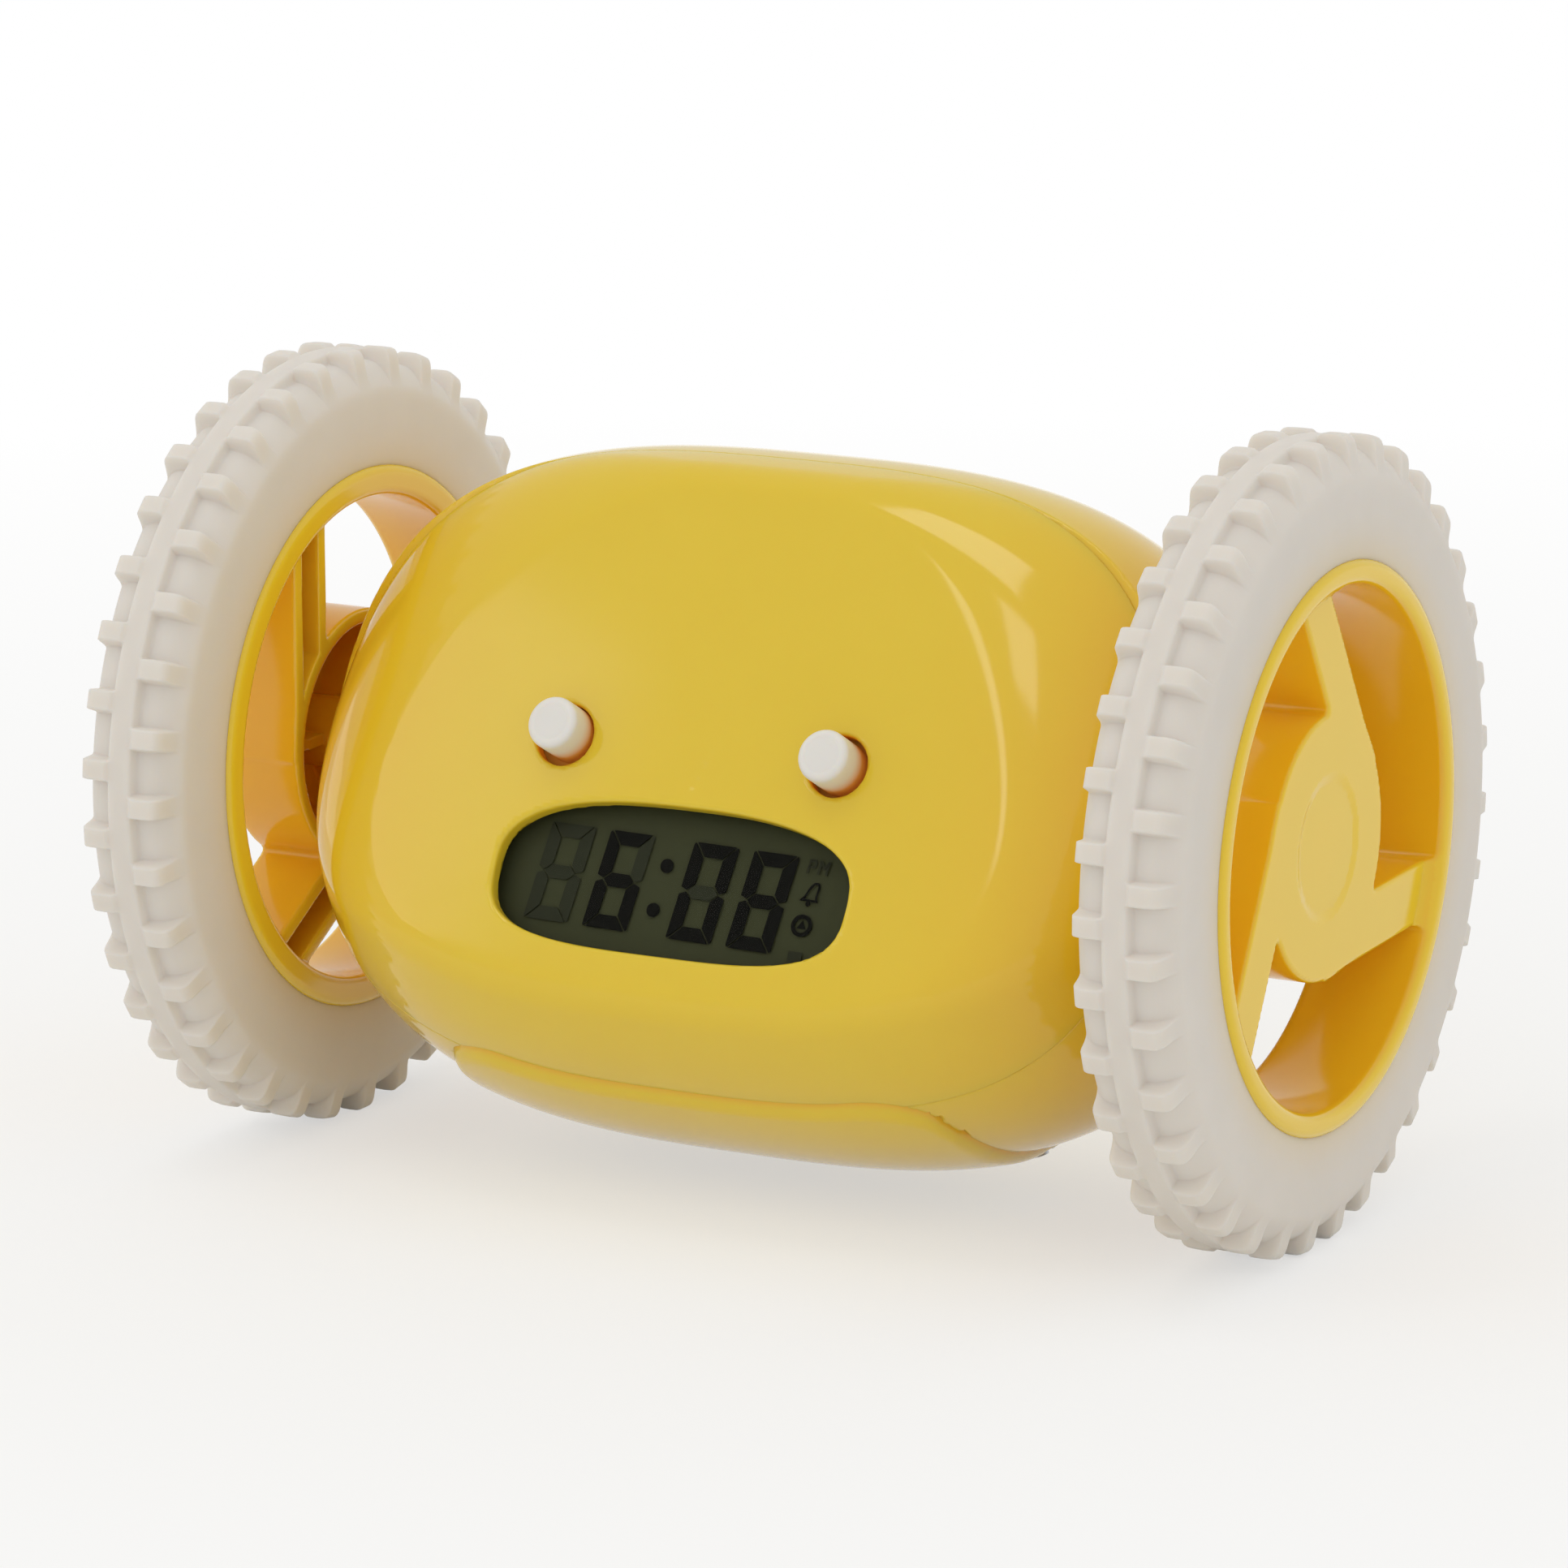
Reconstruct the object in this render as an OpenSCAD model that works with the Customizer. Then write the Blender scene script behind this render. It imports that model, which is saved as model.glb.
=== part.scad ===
// Two-wheeled runaway alarm clock, +Z up, in millimetres.
// The axle runs along X, the face looks along -Y and leans back, and the wheels
// stand on z = 0. The origin is on the floor under the middle of the axle.

/* [Wheels] */
// Radius over the tread lugs
wheel_r = 45; // [42:0.5:50]
// Width over the outer faces of the two rims
track = 135; // [133:0.5:140]
// Height of a tread lug above the tread base
lug_h = 1.6; // [1:0.1:2]
// Lugs in each of the two rows
lug_count = 36; // [30:1:40]
// Width of a lug along the tread
lug_w = 2.6; // [2:0.1:3.6]
// Width of the tread over both rows of lugs
tread_w = 10; // [9:0.2:11]
// Width of the raised band between the rows
band_w = 2.8; // [2:0.2:3.4]
// Width of the tyre over its side walls
tyre_w = 11.3; // [10.6:0.1:11.8]
// Width of the rim over its two lips
rim_w = 12.1; // [12:0.1:13]
// Outer radius of the rim lips
lip_r = 32.2; // [31.8:0.1:33]
// Width of a rim lip
lip_w = 1.3; // [1:0.1:1.6]
// Radius of the seat that the tyre grips
seat_r = 30.6; // [30.2:0.1:31]
// Inner radius of the rim at its outer face
rim_open_r = 29.5; // [29.2:0.1:29.6]
// How much narrower the rim is at its inner face
rim_draft = 1.3; // [0.5:0.1:1.6]

/* [Hubs] */
// Radius of the hub cup
hub_r = 14.8; // [13:0.1:16]
// Depth of the hub cup and the spokes along the axle
hub_depth = 10; // [8.5:0.1:10.4]
// Hub face below the outer face of the rim
hub_sink = 1.5; // [1:0.1:2]
// Thickness of hub and spoke walls
hub_wall = 1.7; // [1.4:0.1:2]
// Width of a spoke
spoke_w = 6.9; // [6:0.1:8]
// Radius of the round dimple in the hub face
dimple_r = 7.6; // [6:0.1:9]
// Depth of the dimple
dimple_depth = 0.35; // [0.2:0.05:0.6]
// Radius of the boss that grips the axle
boss_r = 4.2; // [3.5:0.1:5]
// Direction of the first spoke of the right wheel
right_spoke_turn = 1.5; // [0:0.5:120]
// Direction of the first spoke of the left wheel
left_spoke_turn = 90; // [0:0.5:120]

/* [Body] */
// Radius of the barrel at its middle
barrel_r = 39.1; // [38.9:0.1:39.5]
// Half width of the barrel
barrel_half_w = 53; // [52.7:0.1:53.3]
// Barrel axis in front of (-) or behind (+) the axle
barrel_y = 0.5; // [0.3:0.1:0.8]
// Barrel axis above the axle
barrel_z = -1.85; // [-2.05:0.05:-1.7]
// Wall of the two shells
wall = 2; // [1.7:0.1:2.1]
// Angle by which the face leans back
face_tilt = 28; // [26:0.5:30]
// Distance of the face from the axle
face_d = 23.1; // [22.6:0.1:23.6]
// Half width of the flat of the face
face_half_w = 38.6; // [37:0.2:40]
// Height of the flat above its widest line
face_up = 37.5; // [36:0.5:39]
// Height of the flat below its widest line
face_low = 24.2; // [23:0.2:26]
// Widest line of the face, above the axle along the face
face_mid_z = -8; // [-9:0.2:-7]
// Radius of the bend from the face to the cheeks
cheek_bend = 9; // [8:0.5:10]
// Angle by which the seam between the shells leans back
seam_tilt = 22; // [21:0.5:23]
// Distance of the seam from the axle
seam_d = 14; // [13.8:0.1:14.1]

/* [Display] */
// Half width of the display window
window_half_w = 22.2; // [21:0.1:22.6]
// Half height of the display window
window_half_h = 8.6; // [8:0.1:9]
// Window centre above the axle along the face
window_z = -18; // [-18.6:0.1:-17.6]
// Thickness of the clear window
lens_t = 1.2; // [1:0.1:1.3]
// How far the clear window laps behind the face
lens_lap = 1.2; // [0.8:0.1:1.4]
// Width of the LCD glass
lcd_w = 46; // [45.6:0.1:46.4]
// Height of the LCD glass
lcd_h = 19.2; // [18.8:0.1:19.4]
// Thickness of the LCD glass
lcd_t = 2.8; // [2:0.1:2.9]

/* [Eye buttons] */
// Eye buttons to either side of the middle
eye_x = 17; // [16.4:0.1:18]
// Eye buttons above the axle along the face
eye_z = -3; // [-3.2:0.1:-2]
// Radius of an eye button
eye_r = 3; // [2.6:0.1:3.1]
// How far an eye button stands out of the face
eye_out = 3.8; // [3:0.1:4.5]
// Gap round an eye button
eye_gap = 0.65; // [0.4:0.05:0.8]
// Travel of an eye button
eye_travel = 1; // [0.6:0.1:1.2]

/* [Circuit boards] */
// Width of the main board
board_w = 56.6; // [56.4:0.1:56.8]
// Height of the main board
board_h = 38; // [37.6:0.1:38.6]
// Thickness of the boards
board_t = 1.6; // [1:0.1:1.6]
// Main board below the face
board_depth = 12; // [11.6:0.1:12.2]
// Width of the key board behind the rear panel
key_board_w = 44.6; // [43:0.2:45.2]
// Height of the key board
key_board_h = 11; // [10:0.5:12]

/* [Drive] */
// Radius of the wheel axles
axle_r = 1.5; // [1.3:0.05:1.6]
// Running clearance round the axles and pins
run_gap = 0.05; // [0.03:0.01:0.1]
// Module of the gears
gear_module = 0.5; // [0.5:0.01:0.51]
// Teeth of the small gears
pinion_teeth = 12; // [12:1:13]
// Teeth of the large gears
wheel_teeth = 48; // [46:1:48]
// Face width of the gears
gear_w = 3; // [2.5:0.1:3.2]
// Gear box, inner face from the middle
case_x = 29.2; // [28.7:0.1:29.4]
// Wall of the gear boxes
case_wall = 1.3; // [1:0.1:1.5]
// Direction from the axle to the idler gear
idler_turn = 25.7; // [24:0.1:27]
// Direction from the idler gear to the motor
motor_turn = -64.3; // [-66:0.1:-63]
// Radius of the steel idler pins
pin_r = 1; // [0.8:0.1:1.1]
// Width of a motor can
motor_w = 20.1; // [19.6:0.1:20.4]
// Thickness of a motor can over its flats
motor_t = 15.1; // [14.6:0.1:15.4]
// Length of a motor can
motor_l = 25; // [24:0.1:26]

/* [Batteries] */
// Radius of a battery cell
cell_r = 5.25; // [5:0.05:5.3]
// Length of a battery cell
cell_l = 44.5; // [44:0.1:45]
// Distance between neighbouring cells
cell_pitch = 11; // [10.8:0.1:11.1]
// Cell axis above the axle
cell_z = -28.4; // [-28.5:0.05:-28.1]
// Half width of the battery door
door_half_w = 33; // [32:0.2:33.6]
// Half depth of the battery door
door_half_d = 27.5; // [27.2:0.1:27.6]
// How far the door stands proud of the barrel
door_proud = 1; // [0.4:0.1:1.2]
// Thickness of the door below the barrel surface
door_in = 1; // [0.8:0.05:1.05]
// Corner cut at the front of the door
door_cut = 4.5; // [3:0.1:6]

/* [Rear panel] */
// Direction of the rear panel above the horizontal
rear_turn = 28; // [27:0.5:29]
// Rear panel from the barrel axis
rear_d = 37.3; // [37:0.1:37.5]
// Keys to either side of the middle
key_x = 13; // [12:0.2:13.4]
// Radius of a rear key
key_r = 3; // [2.6:0.1:3.2]
// How far a rear key stands out of the panel
key_out = 1.2; // [1:0.1:1.6]
// Travel of a rear key
key_travel = 0.8; // [0.5:0.1:1]
// Half travel of the mode slider
slider_travel = 1.5; // [1:0.1:1.8]
// Direction of the loudspeaker above the horizontal
speaker_turn = 66; // [65:0.5:68]
// Radius of the loudspeaker
speaker_r = 12; // [11:0.1:12.4]
// Depth of the loudspeaker
speaker_t = 4.5; // [4:0.1:5]

/* [Hidden] */
$fn = 64;
eps = 0.01;
side_gap = 0.15; // clearance of parts that drop into a pocket
slide_gap = 0.3; // clearance of the keys and the slider over their travel
seat_gap = 0.3; // clearance between stacked pieces
shells_reach = 100; // larger than any piece
body_steps = 16;
outline_steps = 36;

rim_face = track / 2;
rim_back = rim_face - rim_w;
rim_mid = rim_face - rim_w / 2;
hub_face = rim_face - hub_sink;
hub_back = hub_face - hub_depth;
tread_base_r = wheel_r - lug_h;
lug_turn = 360 / lug_count;
lug_half_turn = lug_w / 2 / wheel_r * 180 / PI;
spoke_out = hub_r - 0.1;
spoke_in = spoke_out - spoke_w;

eye_hole_r = eye_r + eye_gap;
flange_r = eye_hole_r + 0.55;
flange_t = 1;
guide_wall = 0.8;
eye_stem_r = 2.2;
dome_h = 3.7;
dome_foot_r = 4.4;
dome_top_r = 2.2;

lens_depth = wall;
lcd_depth = lens_depth + lens_t + seat_gap;
holder_wall = 0.9;
holder_front = wall + flange_t + eye_travel + 0.5;
ledge_t = 0.8;
board_back = board_depth + board_t;
board_low = window_z - lcd_h / 2 - 1.3;
board_post_r = 2;
board_edge = 0.3; // board left outside its lower posts
board_post_x = [board_w / 2 - board_post_r - 0.1, lcd_w / 2 + holder_wall + board_post_r + seat_gap];
board_post_z = [board_low + board_h - 2.4, board_low + 3.2];
screw_r = 1;
screw_head_r = 1.9;
screw_head_t = 1.3;

blob_r = 6; // epoxy over the clock chip
blob_top_r = 4;
blob_t = 1.4;
blob_up = 6; // above the middle of the window
crystal_r = 1.5;
crystal_x = -16;
crystal_l = 8;
crystal_up = 15;
capacitor_r = 2.5;
capacitor_l = 7;
capacitor_x = 14;
capacitor_up = 13;
chip_x = 9;
chip_w = 6;
chip_h = 4.5;
chip_t = 1.6;
chip_low = 2;

gear_centre = gear_module * (pinion_teeth + wheel_teeth) / 2;
idler_at = gear_centre * [cos(idler_turn), sin(idler_turn)];
motor_at = idler_at + gear_centre * [cos(motor_turn), sin(motor_turn)];
wheel_tip_r = gear_module * (wheel_teeth / 2 + 1);
pinion_tip_r = gear_module * (pinion_teeth / 2 + 1);
gear_gap = 0.5;
case_in = case_x + case_wall;
first_x = case_in + gear_gap;
second_x = first_x + gear_w + gear_gap;
case_out = second_x + gear_w + gear_gap;
case_end = case_out + case_wall;
bush_r = 3;
bush_flange_r = 4.2;
collar_in = barrel_half_w - wall - 2;
collar_out = hub_back - 1.6;
bush_end = hub_back - 0.9;
bush_flange_t = 1.2;
ear_r = 2.8;
ear_t = 2;
ear_x = case_in + ear_r + 0.1;
ear_low = [-1, -17.8];
ear_high = [10, 24.2];

tray_wall = 1.2;
spring_l = 3.2;
spring_tip_r = 2.4;
spring_foot_r = 3.8;
spring_wire = 0.8;
plate_t = 0.4;
plate_half_w = 3.6; // contact plate behind a spring
plate_half_h = 3;
plate_tab = 1.5;
pole_plate = 3; // half of the plate at a cell's button
pole_r = 1.9; // the cell's button
pole_l = 0.8;
tray_half_w = cell_l / 2 + spring_l + plate_t + 0.2;
tray_half_d = 2 * cell_pitch + 0.2;
tray_top = cell_z + cell_r + 0.3;
ledge_in = door_in + 0.1;
door_screw_x = 29.9;
door_boss_r = 2.5;
door_head_t = 1;

shell_screw_r = 1.2;
shell_boss_r = 3;
shell_posts = [[key_board_w / 2 + shell_boss_r + seat_gap, 23.5], [40, -21.5]];
shell_head_r = 2.3;
shell_head_seat = 6;

key_hole_r = key_r + slide_gap;
key_flange_r = key_hole_r + 0.9;
key_board_depth = 8;
key_post_x = key_board_w / 2 - 2;
key_post_r = 2;
slider_slot = [9, 4];
slider_knob = [4, 3.2];
slot_count = 5;
slot_pitch = 2.6;
slot_w = 1.2;
key_screw_head_r = 1.8;
key_screw_head_t = 1.2;
key_screw_l = 5;
speaker_front = -4.2;
speaker_wall = 1.3;
basket_t = 1.4;
basket_lip = 1.5;
cone_depth = 0.8;
magnet_r = 7;
magnet_t = 1.8;

// Involute helpers: roll angle at a radius, and the polar angle that it gives.
function roll(base, r) = r <= base ? 0 : sqrt(r * r / (base * base) - 1) * 180 / PI;
function involute(base, r) = roll(base, r) - atan(roll(base, r) * PI / 180);
function polar(r, turn) = [r * cos(turn), r * sin(turn)];

// Outline of an involute gear with its first tooth on the X axis.
pressure = 25;
backlash = 0.12;
flank_steps = 3;
function gear_outline(teeth) = let(
    pitch_r = gear_module * teeth / 2,
    base = pitch_r * cos(pressure),
    tip = pitch_r + gear_module,
    root = pitch_r - 1.25 * gear_module,
    start = max(base, root),
    half = 90 / teeth - backlash / (4 * pitch_r) * 180 / PI + involute(base, pitch_r)
) [
    for (tooth = [0 : teeth - 1]) let(turn = tooth * 360 / teeth) each concat(
        [polar(root, turn - half)],
        [for (k = [0 : flank_steps]) let(r = start + (tip - start) * k / flank_steps)
            polar(r, turn - half + involute(base, r))],
        [for (k = [flank_steps : -1 : 0]) let(r = start + (tip - start) * k / flank_steps)
            polar(r, turn + half - involute(base, r))],
        [polar(root, turn + half)]
    )
];

// Rounded outline with one exponent above its widest line and one below it.
function lobe(half_w, up, up_power, low, low_power) = [
    for (step = [0 : outline_steps - 1]) let(
        turn = 360 * step / outline_steps,
        power = sin(turn) >= 0 ? up_power : low_power,
        height = sin(turn) >= 0 ? up : low
    ) [
        half_w * sign(cos(turn)) * pow(abs(cos(turn)), 2 / power),
        height * sign(sin(turn)) * pow(abs(sin(turn)), 2 / power)
    ]
];

// Puts a YZ drawing on the plane x = start and makes it width thick.
module along_x(start, width) {
    translate([start, 0, 0]) rotate([90, 0, 90]) linear_extrude(width) children();
}

// Cylinder along X from start to end, at a place in YZ.
module rod_x(at, start, end, r) {
    translate([min(start, end), at[0], at[1]]) rotate([0, 90, 0]) cylinder(h = abs(end - start), r = r);
}

// Cylinder along +Y from y = start to end, at a place in XZ.
module rod_y(at, start, end, r) {
    translate([at[0], start, at[1]]) rotate([-90, 0, 0]) cylinder(h = end - start, r = r);
}

// Block from its low corner to its high corner.
module block(low, high) {
    translate(low) cube(high - low);
}

// Profile in [radius, X] turned about the axle.
module turned(profile) {
    rotate([0, 90, 0]) rotate_extrude() polygon(profile);
}

// Frames: y = 0 is the outside of the face, the seam or the rear panel, +Y goes into
// the body for the face and the seam, and -Y goes into the body at the rear.
module on_face() {
    rotate([-face_tilt, 0, 0]) translate([0, -face_d, 0]) children();
}

module on_seam() {
    rotate([-seam_tilt, 0, 0]) translate([0, -seam_d, 0]) children();
}

module on_back(turn, distance) {
    translate([0, barrel_y, barrel_z]) rotate([turn, 0, 0]) translate([0, distance, 0]) children();
}

// The barrel, grown or shrunk, as a turned superellipse.
module barrel(grow) {
    power = 2 / 3;
    profile = [for (step = [-body_steps : body_steps]) let(turn = 90 * step / body_steps) [
        (barrel_r + grow) * pow(cos(turn), power),
        (barrel_half_w + grow) * sign(step) * pow(abs(sin(turn)), power)
    ]];
    translate([0, barrel_y, barrel_z]) turned(profile);
}

// Everything behind the face: flat inside the face outline, bending back outside it.
module behind_face(inset) {
    spreads = [0, 3, 6, 9, 12, 17];
    last = len(spreads);
    function ring(spread) = lobe(
        face_half_w + spread - inset,
        face_up + spread - inset, 1.6 + spread * 0.085,
        face_low + spread - inset, 2.6 + spread * 0.03);
    function depth(spread) = inset + spread * spread / (2 * cheek_bend);
    points = concat(
        [for (spread = spreads) each [for (p = ring(spread)) [p[0], depth(spread), p[1] + face_mid_z]]],
        [for (p = ring(spreads[last - 1])) [p[0], shells_reach, p[1] + face_mid_z]]
    );
    sides = [for (row = [0 : last - 1]) each [for (i = [0 : outline_steps - 1]) let(
        a = row * outline_steps + i,
        b = row * outline_steps + (i + 1) % outline_steps
    ) each [[a, b, b + outline_steps], [a, b + outline_steps, a + outline_steps]]]];
    front = [[for (i = [outline_steps - 1 : -1 : 0]) i]];
    back = [[for (i = [0 : outline_steps - 1]) last * outline_steps + i]];
    on_face() polyhedron(points, concat(sides, front, back));
}

module body_front(inset) {
    intersection() {
        barrel(-inset);
        behind_face(inset);
    }
}

module ahead_of_seam() {
    on_seam() block([-shells_reach, -shells_reach, -shells_reach], [shells_reach, 0, shells_reach]);
}

module rear_of_seam() {
    on_seam() block([-shells_reach, 0, -shells_reach], [shells_reach, shells_reach, shells_reach]);
}

// Radius of the barrel at a distance from its middle.
function barrel_radius(x) = barrel_r * pow(1 - pow(abs(x) / barrel_half_w, 3), 1 / 3);

// Frame of the door screw: z = 0 on the barrel's surface, +Z straight into the body.
module on_door_screw() {
    slope = atan2(barrel_radius(door_screw_x - 2) - barrel_radius(door_screw_x + 2), 4);
    translate([door_screw_x, barrel_y, barrel_z - barrel_radius(door_screw_x)])
        rotate([0, -slope, 0]) children();
}

// Runs its children at the four places of the shell screws, on the seam.
module at_shell_posts() {
    for (post = shell_posts, side = [-1, 1]) translate([side * post[0], 0, post[1]]) children();
}

// Runs its children at the four screws of the main board, on the face.
module at_board_posts() {
    for (side = [-1, 1], i = [0, 1]) translate([side * board_post_x[i], 0, board_post_z[i]]) children();
}

// Prism over the battery door, seen from below, made smaller by gap.
module door_prism(gap) {
    w = door_half_w - gap;
    d = door_half_d - gap;
    translate([0, 0, -shells_reach]) linear_extrude(shells_reach + tray_top) polygon([
        [-w, -d + 1.6 * door_cut], [-w + door_cut, -d], [w - door_cut, -d], [w, -d + 1.6 * door_cut],
        [w, d], [-w, d]
    ]);
}

module window_outline(grow) {
    rotate([90, 0, 0]) linear_extrude(shells_reach, center = true)
        polygon(lobe(window_half_w + grow, window_half_h + grow, 2.6, window_half_h + grow, 3.4));
}

// ---------------------------------------------------------------- shells

module front_shell() {
    color("#dcbe46") difference() {
        union() {
            difference() {
                intersection() {
                    difference() {
                        body_front(0);
                        body_front(wall);
                    }
                    ahead_of_seam();
                }
                door_prism(0);
            }
            intersection() {
                body_front(wall / 2);
                ahead_of_seam();
                on_seam() at_shell_posts() rod_y([0, 0], -shells_reach / 2, 0, shell_boss_r);
            }
            on_face() {
                for (x = [-1, 1]) translate([x * eye_x, 0, eye_z])
                    rod_y([0, 0], wall / 2, wall + flange_t + seat_gap + eye_travel,
                        flange_r + slide_gap + guide_wall);
                at_board_posts() rod_y([0, 0], wall / 2, board_depth, board_post_r);
            }
        }
        on_seam() at_shell_posts() rod_y([0, 0], -5, eps, shell_screw_r - 0.2);
        on_face() {
            for (x = [-1, 1]) translate([x * eye_x, 0, eye_z]) {
                rod_y([0, 0], -1, wall + 1, eye_hole_r);
                rod_y([0, 0], wall, board_depth, flange_r + slide_gap);
            }
            at_board_posts() rod_y([0, 0], board_depth - 6, board_depth + 1, screw_r - 0.2);
            intersection() {
                translate([0, 0, window_z]) window_outline(0);
                block([-shells_reach, -1, -shells_reach], [shells_reach, wall + 1, shells_reach]);
            }
        }
    }
}

// The hollow of the rear shell: it keeps a seat for the battery door.
module rear_hollow() {
    difference() {
        barrel(-wall);
        difference() {
            door_prism(-tray_wall);
            barrel(-ledge_in - tray_wall);
        }
    }
}

// Posts and walls inside the rear shell, before they are trimmed to the barrel.
module rear_posts() {
    on_seam() at_shell_posts() rod_y([0, 0], -1, shells_reach, shell_boss_r);
    for (side = [-1, 1], ear = [ear_low, ear_high])
        rod_y([side * ear_x, ear[1]], ear[0] + ear_t, shells_reach, ear_r);
    on_back(rear_turn, rear_d) {
        block([-shells_reach, -wall, -shells_reach], [shells_reach, 1, shells_reach]);
        for (x = [-1, 1]) rod_y([x * key_post_x, 0], -key_board_depth, 1, key_post_r);
    }
    on_back(speaker_turn, barrel_r) difference() {
        rod_y([0, 0], speaker_front - speaker_t, 1, speaker_r + speaker_wall);
        rod_y([0, 0], speaker_front - speaker_t - 1, 2, speaker_r + side_gap);
    }
}

module rear_shell() {
    color("#dcbe46") difference() {
        union() {
            difference() {
                intersection() {
                    barrel(0);
                    rear_of_seam();
                }
                rear_hollow();
                difference() {
                    door_prism(0);
                    barrel(-ledge_in);
                }
            }
            intersection() {
                barrel(-wall / 2);
                rear_of_seam();
                rear_posts();
            }
            // battery tray and the boss of the door screw
            intersection() {
                barrel(-wall);
                union() {
                    block([-tray_half_w - tray_wall, -tray_half_d - tray_wall, -shells_reach],
                        [tray_half_w + tray_wall, tray_half_d + tray_wall, tray_top + tray_wall]);
                    on_door_screw() translate([0, 0, ledge_in + 0.2]) cylinder(h = 6.5, r = door_boss_r);
                }
            }
            for (side = [-1, 1]) rod_x([0, 0], side * collar_in, side * collar_out, bush_r + 1.4);
        }
        // openings
        block([-tray_half_w, -tray_half_d, -shells_reach], [tray_half_w, tray_half_d, tray_top]);
        on_door_screw() cylinder(h = 7, r = screw_r - 0.2);
        on_seam() at_shell_posts() {
            rod_y([0, 0], -1, shells_reach, shell_screw_r + 0.2);
            rod_y([0, 0], shell_head_seat, shells_reach, shell_head_r + 0.3);
        }
        for (side = [-1, 1], ear = [ear_low, ear_high])
            rod_y([side * ear_x, ear[1]], ear[0], ear[0] + ear_t + 6, screw_r - 0.2);
        for (side = [-1, 1]) rod_x([0, 0], side * (collar_in - 1), side * (collar_out + 1), bush_r);
        on_back(rear_turn, rear_d) {
            block([-shells_reach, 0, -shells_reach], [shells_reach, shells_reach, shells_reach]);
            for (x = [-1, 1]) {
                rod_y([x * key_x, 0], -wall - 1, 1, key_hole_r);
                rod_y([x * key_post_x, 0], -key_board_depth - 1, -wall, screw_r - 0.2);
            }
            block([-slider_slot[0] / 2, -wall - 1, -slider_slot[1] / 2],
                [slider_slot[0] / 2, 1, slider_slot[1] / 2]);
        }
        on_back(speaker_turn, barrel_r) for (row = [0 : slot_count - 1])
            let(z = (row - (slot_count - 1) / 2) * slot_pitch, w = speaker_r * 0.75 - abs(z) * 0.5)
                block([-w, -6, z - slot_w / 2], [w, 2, z + slot_w / 2]);
    }
}

module battery_door() {
    color("#dcbe46") difference() {
        intersection() {
            difference() {
                barrel(door_proud);
                barrel(-door_in);
            }
            door_prism(side_gap);
        }
        on_door_screw() {
            translate([0, 0, -door_proud - 1]) cylinder(h = door_proud + 1, r = screw_head_r + 0.3);
            cylinder(h = door_in + 1, r = screw_r + 0.1);
        }
    }
}

// Screw along +Z: its head's seat is at z = 0 and the shank goes up.
module screw(shank_r, head_r, head_t, length) {
    color("#b8bbc0") difference() {
        union() {
            cylinder(h = length, r = shank_r);
            translate([0, 0, -head_t]) cylinder(h = head_t, r = head_r);
        }
        for (turn = [0, 90]) rotate([0, 0, turn]) translate([-head_r * 0.6, -0.25, -head_t - eps])
            cube([head_r * 1.2, 0.5, head_t * 0.55]);
    }
}

module door_screw() {
    on_door_screw() screw(screw_r - 0.2, screw_head_r, door_head_t, 6);
}

module shell_screws() {
    on_seam() at_shell_posts() translate([0, shell_head_seat, 0]) rotate([90, 0, 0])
        screw(shell_screw_r - 0.2, shell_head_r, 1.6, 10);
}

// ---------------------------------------------------------------- display and main board

module display_lens() {
    color("#3c3e2d") on_face() intersection() {
        translate([0, 0, window_z]) window_outline(lens_lap);
        block([-shells_reach, lens_depth, -shells_reach], [shells_reach, lens_depth + lens_t, shells_reach]);
    }
}

module lcd_panel() {
    color("#4a4d38") on_face() block(
        [-lcd_w / 2, lcd_depth, window_z - lcd_h / 2],
        [lcd_w / 2, lcd_depth + lcd_t, window_z + lcd_h / 2]);
}

module lcd_holder() {
    back = lcd_depth + lcd_t;
    color("#e8e6df") on_face() translate([0, 0, window_z]) difference() {
        block([-lcd_w / 2 - holder_wall, holder_front, -lcd_h / 2 - holder_wall],
            [lcd_w / 2 + holder_wall, board_depth, lcd_h / 2 + holder_wall]);
        block([-lcd_w / 2 - eps, 0, -lcd_h / 2 - eps], [lcd_w / 2 + eps, back + eps, lcd_h / 2 + eps]);
        block([-lcd_w / 2 + 1.2, back - 1, -lcd_h / 2 + ledge_t],
            [lcd_w / 2 - 1.2, board_depth + 1, lcd_h / 2 - 1.2]);
    }
}

module contact_strip() {
    low = window_z - lcd_h / 2 + ledge_t;
    color("#2b2b2d") on_face() block(
        [-lcd_w / 2 + 2, lcd_depth + lcd_t, low + 0.1],
        [lcd_w / 2 - 2, board_depth, low + 2.1]);
}

module main_board() {
    low_half_w = board_post_x[1] + board_post_r + board_edge;
    color("#2f6b3c") on_face() difference() {
        union() {
            block([-board_w / 2, board_depth, board_low], [board_w / 2, board_back, board_low + board_h]);
            block([-low_half_w, board_depth, board_low],
                [low_half_w, board_back, board_post_z[1] + board_post_r + board_edge]);
        }
        at_board_posts() rod_y([0, 0], board_depth - 1, board_back + 1, screw_r + 0.1);
    }
}

module board_screws() {
    on_face() at_board_posts() translate([0, board_back, 0]) rotate([90, 0, 0])
        screw(screw_r - 0.2, screw_head_r, screw_head_t, 6);
}

module clock_chip() {
    color("#1b1b1d") on_face() translate([0, board_back, window_z + blob_up]) rotate([-90, 0, 0])
        cylinder(h = blob_t, r1 = blob_r, r2 = blob_top_r, $fn = 64);
}

module quartz_crystal() {
    color("#c9ccd1") on_face() rod_x([board_back + crystal_r, window_z + crystal_up],
        crystal_x, crystal_x + crystal_l, crystal_r);
}

module power_capacitor() {
    color("#31405f") on_face() rod_y([capacitor_x, window_z + capacitor_up],
        board_back, board_back + capacitor_l, capacitor_r);
}

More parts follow.
